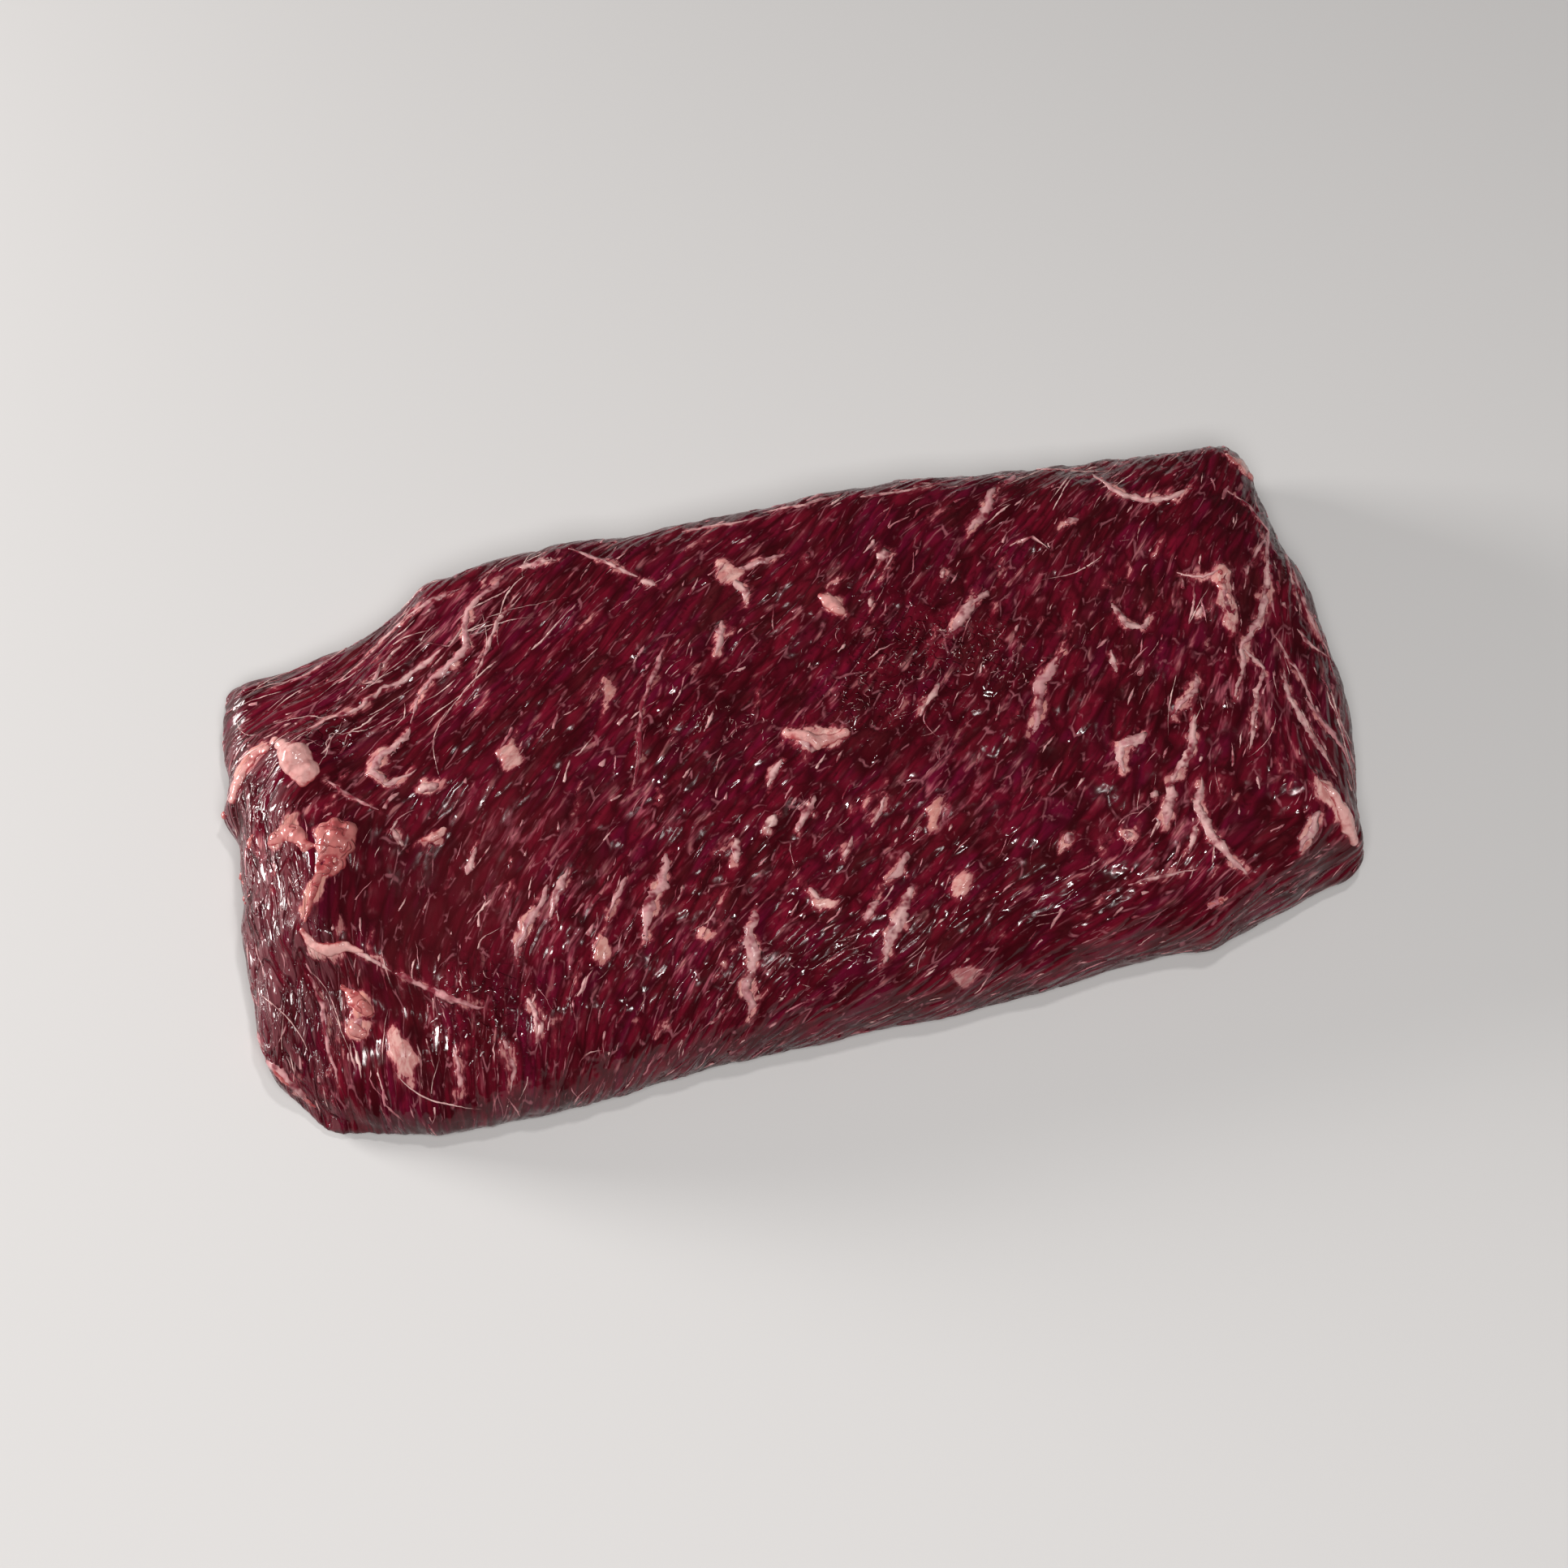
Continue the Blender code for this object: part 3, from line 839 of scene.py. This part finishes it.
def fibreBundlesGroup():
    # long cells side by side along the grain: width and length in millimetres
    usual = {"Width": 2.5, "Length": 14.0, "Seed": 0.0, "Wander": 0.8}
    group, given, result = newGroup("fibreBundles", usual, ("Edge", "Draw"))
    place = grainPlace(given)
    sway = addNode("TexNoise", {"Vector": place, "Scale": 0.75, "Detail": 2.0}).outputs[1]
    sway = vectorCalc("SUBTRACT", {0: sway, 1: (0.5, 0.5, 0.5)})
    sway = vectorCalc("SCALE", {0: sway, 3: given.outputs["Wander"]})
    paving = {"Vector": vectorCalc("ADD", {0: place, 1: sway}), "Scale": 1.0, "Randomness": 0.95}
    edge = addNode("TexVoronoi", paving, voronoi_dimensions="2D", feature="DISTANCE_TO_EDGE")
    cell = addNode("TexVoronoi", paving, voronoi_dimensions="2D", feature="F1")
    draw = addNode("SeparateColor", {0: cell.outputs["Color"]})
    setInputs(result, {"Edge": edge.outputs["Distance"], "Draw": draw.outputs[0]})


def bundles(flow, width, length, seed):
    made = placeGroup("fibreBundles", flow, Width=width, Length=length, Seed=seed)
    return made["Edge"], made["Draw"]


fleshLook = {
    "deep": (0.041, 0.0009, 0.0034, 1),
    "bright": (0.126, 0.0032, 0.0126, 1),
    "magenta": (0.113, 0.0022, 0.0190, 1),
    "brown": (0.068, 0.0060, 0.0088, 1),
    "paleFibre": (0.430, 0.1400, 0.1700, 1),
    # painted shade, for the grooves between bundles
    "grooveShade": (0.025, 0.0005, 0.0020, 1),
    "marbling": (0.390, 0.0900, 0.1250, 1),
    "silver": (0.140, 0.0380, 0.0460, 1),
    "membrane": (0.056, 0.0036, 0.0060, 1),
    "fatCream": (0.700, 0.4400, 0.4050, 1),
    "fatWarm": (0.600, 0.2500, 0.2000, 1),
    "fatPink": (0.500, 0.1900, 0.1900, 1),
    "fatRim": (0.240, 0.0300, 0.0460, 1),
}
# patterns drawn out along the fibres: width and length in millimetres, seed, wander, detail
fleshStreaks = {
    "patch": (6.0, 22.0, 2, 0.6, 1.2),
    "bundle": (2.3, 17.0, 4, 0.6, 1.2),
    "darkStrand": (1.5, 14.0, 17, 0.6, 1.2),
    "marbled": (1.9, 10.0, 41, 0.6, 2.0),
    "crowd": (9.0, 22.0, 43),
    "combed": (0.55, 5.0, 45, 0.6, 1.0),
    "here": (4.0, 7.0, 27),
    "there": (3.0, 6.0, 28),
    "skinEdge": (1.2, 9.0, 51),
    "wrinkle": (4.6, 15.0, 77, 1.3, 1.6),
    "crinkle": (2.1, 8.0, 78, 1.5, 1.0),
    "fatPatch": (1.6, 3.2, 31),
    "fatPits": (0.9, 2.4, 37),
    "fray": (0.45, 3.2, 61),
    "ragged": (1.3, 3.6, 67),
    "rounds": (2.4, 9.0, 71, 0, 0),
    "strands": (1.2, 5.5, 73, 0, 0),
    "swellings": (3.4, 11.0, 79, 0, 0),
}
# cells side by side along the fibres: width and length in millimetres, seed
fleshBundles = {"wide": (3.0, 13.0, 3), "slim": (1.5, 7.0, 8)}
# plain noise: bumps per metre, detail
fleshBumps = {"broad": (38.0, 3.0), "film": (190.0, 2.0), "lumps": (430.0, 0.0), "beads": (560.0, 0.0)}
# the flesh, from broad patches down to single fibres: pattern, where it starts and is full, most, colour
fleshLayers = (
    ("broad", 0.42, 0.66, 1.0, "brown"),
    ("patch", 0.42, 0.62, 0.85, "magenta"),
    ("wideDraw", 0.35, 0.95, 0.75, "bright"),
    ("bundle", 0.46, 0.66, 0.7, "bright"),
    ("slimDraw", 0.6, 0.1, 0.28, "deep"),
    ("darkStrand", 0.46, 0.28, 0.8, "deep"),
)
# relief in the material, in millimetres
fleshRelief = {
    "rounds": 0.34,
    "strands": 0.10,
    "lumps": 0.15,
    "domes": 0.23,
    "fat": 0.30,
    "wrinkles": -0.60,
    "crinkles": -0.18,
    "swellings": 1.3,
    "drops": 0.42,
}


def fatColour(pattern, warmth, within):
    patch = ramp(pattern["fatPatch"], 0.40, 0.62)
    cream = mixColour(patch, fleshLook["fatPink"], fleshLook["fatCream"])
    cream = mixColour(warmth, cream, fleshLook["fatWarm"])
    pits = ramp(pattern["fatPits"], 0.58, 0.70, 0.0, 0.45)
    cream = mixColour(pits, cream, fleshLook["fatRim"])
    blush = mixColour(ramp(within, 0.0, 0.8), fleshLook["fatPink"], cream)
    return mixColour(ramp(within, -0.15, 0.25), fleshLook["fatRim"], blush)


def pileUp(height, parts):
    for name, value in parts.items():
        height = scaled(value, fleshRelief[name], height)
    return height


def buildFleshMaterial():
    material, shader = newMaterial("wetRawBeef")
    place = addNode("TexCoord", {}, shader.id_data).outputs["Object"]
    flow = addNode("Attribute", {}, shader.id_data, attribute_name="grainFlow").outputs["Vector"]
    depth, warmth, strength = attributeParts(shader.id_data, "fatField")
    silver, membrane, wet = attributeParts(shader.id_data, "zoneMasks")
    hollow, veined, _ = attributeParts(shader.id_data, "hollows")
    made = {name: streaks(flow, *values) for name, values in fleshStreaks.items()}
    pattern = {name: outputs["Streak"] for name, outputs in made.items()}
    pattern |= {name: bumpyNoise(place, *values) for name, values in fleshBumps.items()}
    wideEdge, pattern["wideDraw"] = bundles(flow, *fleshBundles["wide"])
    slimEdge, pattern["slimDraw"] = bundles(flow, *fleshBundles["slim"])
    wrinkle, crinkle = made["wrinkle"]["Ridge"], made["crinkle"]["Ridge"]

    # Flesh
    colour = fleshLook["deep"]
    for name, low, high, most, tint in fleshLayers:
        colour = mixColour(ramp(pattern[name], low, high, 0.0, most), colour, fleshLook[tint])
    # Painted shade: the colour darkens in the grooves between bundles and at the edges of the wide and slim
    # cells
    gap = ramp(hollow, 0.30, 0.95, 0.0, 0.75)
    gap = calc("MAXIMUM", gap, ramp(wideEdge, 0.24, 0.03, 0.0, 0.62))
    colour = mixColour(gap, colour, fleshLook["grooveShade"])
    colour = mixColour(ramp(slimEdge, 0.14, 0.02, 0.0, 0.18), colour, fleshLook["grooveShade"])
    colour = mixColour(times(membrane, 0.68), colour, fleshLook["membrane"])

    # Soft pink marbling, and hair-thin pale skins between the bundles
    crowded = calc("MAXIMUM", ramp(pattern["crowd"], 0.42, 0.60, 0.0, 0.85), veined)
    marbling = scaled(veined, 0.07, pattern["marbled"])
    marbling = times(ramp(marbling, 0.56, 0.72, 0.0, 0.8), crowded)
    marbling = times(marbling, scaled(membrane, -0.8, 1.0))
    marbling = times(marbling, ramp(pattern["combed"], 0.36, 0.58, 0.30, 1.0))
    heart = ramp(pattern["marbled"], 0.62, 0.72)
    heart = mixColour(heart, fleshLook["marbling"], fleshLook["fatPink"])
    colour = mixColour(marbling, colour, heart)
    hair = times(ramp(wideEdge, 0.060, 0.015), ramp(pattern["here"], 0.52, 0.66))
    slimHair = ramp(slimEdge, 0.090, 0.030)
    slimHair = times(slimHair, ramp(pattern["there"], 0.56, 0.70))
    hair = times(calc("MAXIMUM", hair, slimHair), 0.45)
    colour = mixColour(hair, colour, fleshLook["paleFibre"])

    # Silver skin over the rounded end, with painted shade along its wrinkle and crinkle grooves
    skin = scaled(pattern["skinEdge"], 0.9, calc("SUBTRACT", silver, 0.45))
    skin = times(ramp(skin, 0.25, 0.75), ramp(silver, 0.02, 0.3))
    # painted shade: the silver sheet leaves off along the wrinkle grooves and thins along the crinkle
    # grooves, so they stay darker
    sheet = ramp(wrinkle, 0.97, 0.78, 0.0, 0.95)
    sheet = times(sheet, ramp(crinkle, 0.985, 0.88, 0.45, 1.0))
    colour = mixColour(times(skin, sheet), colour, fleshLook["silver"])

    # Placed fat, its edge frayed along the grain and fading into the flesh
    within = calc("ADD", depth, scaled(pattern["fray"], 1.5, -0.75))
    within = calc("ADD", within, scaled(pattern["ragged"], 2.6, -1.3))
    rim = times(ramp(within, -0.9, -0.1, 0.0, 0.6), strength)
    colour = mixColour(rim, colour, fleshLook["fatRim"])
    fatMask = times(ramp(within, -0.20, 0.10), strength)
    colour = mixColour(fatMask, colour, fatColour(pattern, warmth, within))

    # Wet gloss, with drier patches
    film = ramp(pattern["film"], 0.40, 0.60, 0.22, 0.085)
    rough = scaled(calc("MAXIMUM", wet, skin), -0.03, film)
    rough = scaled(membrane, 0.12, rough)

    # Bundles, strands, wrinkled silver skin and droplets as smooth relief
    height = pileUp(0.0, {
        "rounds": pattern["rounds"],
        "strands": pattern["strands"],
        "lumps": pattern["lumps"],
        "domes": ramp(wideEdge, 0.0, 0.36),
    })
    height = times(height, scaled(membrane, -0.62, 1.0))
    height = pileUp(height, {
        "fat": times(ramp(depth, -0.4, 0.3), strength),
        "wrinkles": times(ramp(wrinkle, 0.80, 0.98), silver),
        "crinkles": times(ramp(crinkle, 0.84, 0.99), silver),
        "swellings": times(pattern["swellings"], silver),
        "drops": times(ramp(pattern["beads"], 0.54, 0.66), wet),
    })
    bump = addNode("Bump", {"Height": height, "Distance": mm, "Strength": 1.0})
    setInputs(shader, {
        "Base Color": colour,
        "Roughness": rough,
        "Specular IOR Level": 0.28,
        "Normal": bump.outputs["Normal"],
    })
    return material


# Knobs: lumps of fat that stand off the surface

fatKnobs = {
    "voxel": 0.34 * mm,
    "crowding": 2.2,
    # shares of the radius
    "sunk": 0.55,
    "jog": 0.22,
    "swell": (0.9, 1.12),
    "lowest": 0.2 * mm,
    "smoothRounds": 13,
    "lumps": ((200, 0.75), (430, 0.24), (1000, 0.10)),  # bumps per metre, millimetres
    "seed": 3,
}
# as (warmth, x, y, radius, x, y, radius and so on), in the photo's pixels
fatLumps = (
    (0.20, 338, 912, 9, 352, 920, 15, 366, 930, 19, 376, 946, 16, 380, 960, 10),
    (0.20, 354, 938, 13, 366, 950, 15, 376, 962, 9),
    (0.35, 286, 985, 9, 292, 965, 10, 301, 947, 10, 313, 932, 9, 326, 922, 9),
    (0.80, 396, 1018, 8, 398, 1040, 11, 396, 1060, 9, 391, 1080, 6, 384, 1106, 3.5, 376, 1136, 2),
    (0.90, 414, 1014, 13, 414, 1034, 13, 408, 1054, 10, 399, 1074, 6),
    (0.85, 434, 1022, 12, 430, 1042, 12, 418, 1060, 9, 406, 1080, 6),
    (0.75, 340, 1034, 13, 352, 1022, 12, 366, 1026, 13, 378, 1040, 10),
    (0.15, 372, 1148, 4, 386, 1164, 7, 406, 1172, 9, 426, 1168, 7, 446, 1172, 4),
    (0.85, 424, 1218, 7, 434, 1228, 12, 446, 1238, 12, 456, 1248, 6),
    (0.60, 434, 1266, 9, 447, 1276, 7),
    (0.65, 312, 1280, 7, 320, 1298, 8, 334, 1316, 6, 352, 1334, 4, 370, 1350, 3, 388, 1364, 3),
    (0.90, 276, 1004, 6, 274, 1018, 7, 280, 1032, 5),
    (0.90, 296, 1078, 5, 299, 1090, 4),
    (0.90, 298, 1104, 6, 302, 1112, 4),
    (0.90, 310, 1262, 6, 306, 1276, 5),
    (0.10, 1612, 948, 4, 1632, 968, 7, 1650, 990, 9, 1662, 1010, 12, 1672, 1034, 9),
    (0.15, 1512, 560, 4, 1530, 576, 7, 1548, 594, 7, 1562, 612, 4),
    (0.90, 1490, 1113, 6, 1504, 1111, 6),
    (0.30, 968, 902, 7, 985, 907, 11, 1003, 912, 12, 1025, 909, 10, 1041, 902, 6),
    (0.45, 1010, 733, 7, 1022, 743, 11, 1036, 753, 9),
    (0.20, 546, 1022, 6, 536, 1033, 7, 522, 1035, 7),
    (0.30, 1598, 600, 8, 1606, 618, 7),
)


def buildKnobs(tree):
    scale = pixelSize()
    bpy.ops.object.select_all(action="DESELECT")
    balls, spots = [], []
    draw = random.Random(fatKnobs["seed"])
    for warmth, *numbers in fatLumps:
        run = [numbers[k:k + 3] for k in range(0, len(numbers), 3)]
        for (x0, y0, r0), (x1, y1, r1) in zip(run, run[1:]):
            count = max(2, round(fatKnobs["crowding"] * math.dist((x0, y0), (x1, y1)) / (r0 + r1)))
            for k in range(count + ([x1, y1, r1] == run[-1])):
                t = k / count
                size = r0 + (r1 - r0) * t
                jog = [draw.uniform(-1, 1) * size * fatKnobs["jog"] for _ in range(2)]
                radius = size * scale * draw.uniform(*fatKnobs["swell"])
                place = onSurface(tree, (x0 + (x1 - x0) * t + jog[0], y0 + (y1 - y0) * t + jog[1]))
                normal = tree.find_nearest(place)[1]
                centre = place - normal * radius * fatKnobs["sunk"]
                bpy.ops.mesh.primitive_ico_sphere_add(subdivisions=3, radius=radius, location=centre)
                balls.append(bpy.context.object)
                spots.append((place, warmth))
    bpy.ops.object.select_all(action="DESELECT")
    for ball in balls:
        ball.select_set(True)
    bpy.context.view_layer.objects.active = balls[0]
    bpy.ops.object.join()
    knobs = bpy.context.object
    knobs.name = knobs.data.name = "fatKnobs"
    bpy.ops.object.transform_apply(location=True, rotation=True, scale=True)
    applyModifier(knobs, "grownTogether", "REMESH", mode="VOXEL", voxel_size=fatKnobs["voxel"])
    mesh = knobs.data
    points, _, edges = readMesh(mesh)
    writePoints(mesh, relax(points, edges, fatKnobs["smoothRounds"]))
    points, normals, _ = readMesh(mesh)
    for bumps, size in fatKnobs["lumps"]:
        points = points + normals * (size * mm * noiseAt(points, bumps, 7.7))[:, None]
    points[:, 2] = np.maximum(points[:, 2], fatKnobs["lowest"])
    writePoints(mesh, points)
    near = KDTree(len(spots))
    for index, (place, _) in enumerate(spots):
        near.insert(place, index)
    near.balance()
    warmth = np.array([spots[near.find(p)[1]][1] for p in points])
    stand = np.array([tree.find_nearest(p)[3] for p in points])
    writeVectors(mesh, "fatTone", warmth, stand / mm)
    return smoothShaded(knobs)


# Threads: thin pale fibres lying on the flesh along its grain, wandering off it where it is wet

fatThreads = {
    "count": 1500,
    "kinds": {
        # share of the count, length and width in millimetres, and how much more or less they wander
        "frost": (0.22, (1.0, 3.5), (0.14, 0.30), 0.3),
        "plain": (0.59, (2.0, 12.0), (0.24, 0.95), 0.0),
        "fleck": (0.14, (3.0, 11.0), (0.6, 1.6), 0.0),
        "long": (0.05, (12.0, 34.0), (0.35, 0.75), -0.05),
    },
    "step": 0.85,  # millimetres, as the next three
    "lowest": 1.5,
    "sink": 0.07,
    "highest": 0.22,
    "rise": 0.34,  # share of the width
    # angles in radians
    "lean": 0.20,
    "bend": 0.05,
    "wander": 0.09,
    "wetWander": 0.40,
    "kept": 0.94,  # share of its swing that a thread keeps at each step
    # torn outline and sway, as bumps per metre and share of the half width
    "tear": ((260, 1.1), (800, 0.9)),
    "sway": (220, 0.7),
    # seams up to this many pixels are ribbons, as the body's own cells are too coarse for them
    "seamWidth": 16,
    "seamSwell": 1.1,
    "seed": 23,
}
# sections of a thread and of a flat ribbon, as (out, up)
threadSection = ((1, 0), (0, 1), (-1, 0))
ribbonSection = ((1, 0), (0.65, 0.7), (0, 1), (-0.65, 0.7), (-1, 0))


def traceThread(draw, surface, ways, wet, start, length, stray):
    # (place, normal, way) from a start along the grain
    points, _, tree, nearest = surface
    here = Vector(points[start])
    swing = draw.gauss(0, max(0.04, fatThreads["lean"] + stray))
    sense = draw.choice((1, -1))
    bend = draw.gauss(0, fatThreads["bend"])
    stations = []
    for _ in range(max(4, int(length / fatThreads["step"]))):
        here, normal = tree.find_nearest(here)[:2]
        index = nearest.find(here)[1]
        wander = fatThreads["wander"] + fatThreads["wetWander"] * wet[index] + stray
        swing = fatThreads["kept"] * swing + bend + draw.gauss(0, max(0.03, wander))
        way = Vector(ways[index]) * sense
        way = (way * math.cos(swing) + normal.cross(way) * math.sin(swing)).normalized()
        stations.append((here, normal, way))
        here = here + way * min(fatThreads["step"], length / 4) * mm
    return stations


def threadStarts(surface):
    # where each kind may start
    points, normals, tree = surface[:3]
    bare = np.flatnonzero((points[:, 2] > fatThreads["lowest"] * mm) & (normals[:, 2] > -0.3))
    starts = {"plain": bare, "fleck": bare}
    for kind, zone in (("frost", "frost"), ("long", "stringy")):
        starts[kind] = []
        for pixel, reach in zones[zone]:
            starts[kind] += bare[distancesFrom(pixel, points[bare], tree) < reach].tolist()
    return starts


def drawThreads(surface, ways, wet):
    # threads at random, as (stations, width, tone, strength, where they are thickest, section)
    draw = random.Random(fatThreads["seed"])
    starts = threadStarts(surface)
    runs = []
    for _ in range(fatThreads["count"]):
        chance = draw.random()
        for kind, (share, lengths, widths, stray) in fatThreads["kinds"].items():
            chance -= share
            if chance < 0:
                break
        start = int(draw.choice(starts[kind]))
        length = draw.uniform(*lengths) * draw.uniform(0.5, 1.0)
        stations = traceThread(draw, surface, ways, wet, start, length, stray)
        width = draw.uniform(*widths) * draw.uniform(0.5, 1.0) * mm
        tone, strong, thickest, section = 1.0, 1.0, 0.45, threadSection
        if kind == "plain":
            tone, strong = draw.random() ** 1.2, 0.3 + 0.7 * draw.random()
        if kind == "fleck":
            tone, strong, section = draw.uniform(0.1, 0.9), draw.uniform(0.35, 0.85), ribbonSection
        else:
            thickest = draw.uniform(0.35, 1.0)
        runs.append((stations, width, tone, strong, thickest, section))
    return runs


def seamRibbons(tree):
    # the narrow seams of the photo, as the threads above
    runs = []
    for width, warm, strong, *route in fatSeams:
        if width > fatThreads["seamWidth"]:
            continue
        spots = [Vector(sample[:3]) for sample in seamSamples(tree, route, width)]
        stations = []
        for here, ahead in zip(spots, spots[1:]):
            here, normal = tree.find_nearest(here)[:2]
            stations.append((here, normal, (ahead - here).normalized()))
        width *= fatThreads["seamSwell"] * pixelSize()
        runs.append((stations, width, 1 - warm, 0.25 + 0.65 * strong, 0.8, ribbonSection))
    return runs


def layRun(tree, run, vertices, faces, tones):
    # one closed strip that tapers to both ends
    stations, width, tone, strong, thickest, section = run
    base, around = len(vertices), len(section)
    broad = section == ribbonSection
    swayBumps, swaySize = fatThreads["sway"]
    for k, (here, normal, way) in enumerate(stations):
        along = ((k + 0.25) / (len(stations) - 0.5)) ** thickest
        full = math.sin(math.pi * along) ** (0.5 if broad else 0.7)
        side = normal.cross(way).normalized() * width / 2
        height = min(fatThreads["rise"] * width, fatThreads["highest"] * mm) * full
        sway = swaySize * noise.noise(here * swayBumps) if broad else 0
        for out, up in section:
            torn = 1 + sum(
                size * noise.noise(here * bumps + side * 900 * out) for bumps, size in fatThreads["tear"]
            )
            place = here + side * (out * full * max(torn, 0.1) + sway)
            if broad:
                place, normal = tree.find_nearest(place)[:2]
            vertices.append(place + normal * (height * up - fatThreads["sink"] * mm * (1 - up)))
            tones.append((tone, strong, up * full**0.3 if broad else full))
    for k in range(len(stations) - 1):
        for m in range(around):
            low, high = base + k * around + m, base + k * around + (m + 1) % around
            faces.append((low, high, high + around, low + around))
    faces.append(tuple(range(len(vertices) - 1, len(vertices) - 1 - around, -1)))
    faces.append(tuple(range(base, base + around)))


def buildThreads(surface, ways, wet):
    vertices, faces, tones = [], [], []
    for run in drawThreads(surface, ways, wet) + seamRibbons(surface[2]):
        layRun(surface[2], run, vertices, faces, tones)
    mesh = bpy.data.meshes.new("fatThreads")
    mesh.from_pydata([tuple(v) for v in vertices], [], faces)
    threads = bpy.data.objects.new("fatThreads", mesh)
    scene.collection.objects.link(threads)
    writeVectors(mesh, "fatTone", *zip(*tones))
    editAll(threads, bpy.ops.mesh.normals_make_consistent, inside=False)
    return smoothShaded(threads)


knobLook = {
    "cream": (0.670, 0.3700, 0.3450, 1),
    "salmon": (0.400, 0.1000, 0.0930, 1),
    "bloodTint": (0.300, 0.0450, 0.0500, 1),
}


def buildKnobMaterial():
    material, shader = newMaterial("wetFatKnob")
    place = addNode("TexCoord", {}, shader.id_data).outputs["Object"]
    warmth, stand, _ = attributeParts(shader.id_data, "fatTone")
    patch = bumpyNoise(place, 420.0, 4.0)
    stain = bumpyNoise(place, 170.0, 4.0)
    colour = mixColour(warmth, knobLook["cream"], knobLook["salmon"])
    colour = mixColour(ramp(patch, 0.48, 0.72, 0.0, 0.55), colour, knobLook["salmon"])
    colour = mixColour(ramp(stain, 0.53, 0.68, 0.0, 0.80), colour, knobLook["bloodTint"])
    clear = ramp(scaled(patch, -1.2, stand), -0.60, -0.15)
    colour = mixColour(clear, knobLook["bloodTint"], colour)
    crease = scaled(bumpyNoise(place, 230.0, 1.0), 2.0, -1.0)
    crease = ramp(calc("ABSOLUTE", crease), 0.07, 0.015)
    creased = times(crease, ramp(warmth, 0.3, 0.9, 0.08, 0.8))
    grit = times(bumpyNoise(place, 480.0, 0.5), 0.45)
    height = scaled(creased, -0.35, grit)
    bump = addNode("Bump", {"Height": height, "Distance": mm})
    setInputs(shader, {
        "Base Color": mixColour(creased, colour, knobLook["bloodTint"]),
        "Roughness": ramp(patch, 0.3, 0.7, 0.10, 0.26),
        "Specular IOR Level": 0.5,
        "Normal": bump.outputs["Normal"],
    })
    return material


threadLook = {
    "dark": (0.150, 0.0120, 0.0240, 1),
    "pink": (0.430, 0.1400, 0.1700, 1),
    "pale": (0.710, 0.4750, 0.4400, 1),
}


def buildThreadMaterial():
    material, shader = newMaterial("wetFatThread")
    place = addNode("TexCoord", {}, shader.id_data).outputs["Object"]
    tone, strong, full = attributeParts(shader.id_data, "fatTone")
    fade = bumpyNoise(place, 330.0, 2.0)
    stain = bumpyNoise(place, 520.0, 3.0)
    paleness = times(tone, ramp(stain, 0.34, 0.56, 0.40, 1.0))
    pale = mixColour(paleness, threadLook["pink"], threadLook["pale"])
    clear = times(ramp(scaled(strong, 0.42, fade), 0.60, 0.86), full)
    setInputs(shader, {
        "Base Color": mixColour(clear, threadLook["dark"], pale),
        "Roughness": ramp(fade, 0.3, 0.7, 0.25, 0.45),
        "Specular IOR Level": 0.30,
        "Coat Weight": 0.25,
        "Coat Roughness": 0.15,
    })
    return material


# The script's steps

buildCamera()
buildStudio()
print("camera and studio ready")

fibreStreaksGroup()
fibreBundlesGroup()
flesh = buildBody()
ways, wet = finishBody(flesh)
flesh.data.materials.append(buildFleshMaterial())
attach(flesh, "root")
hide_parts("flank_steak")
print("flesh finished")

surface = surfaceOf(flesh)
knobs = buildKnobs(surface[2])
knobs.data.materials.append(buildKnobMaterial())
threads = buildThreads(surface, ways, wet)
threads.data.materials.append(buildThreadMaterial())
for piece in (knobs, threads):
    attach(piece, "root")
print("fat finished")
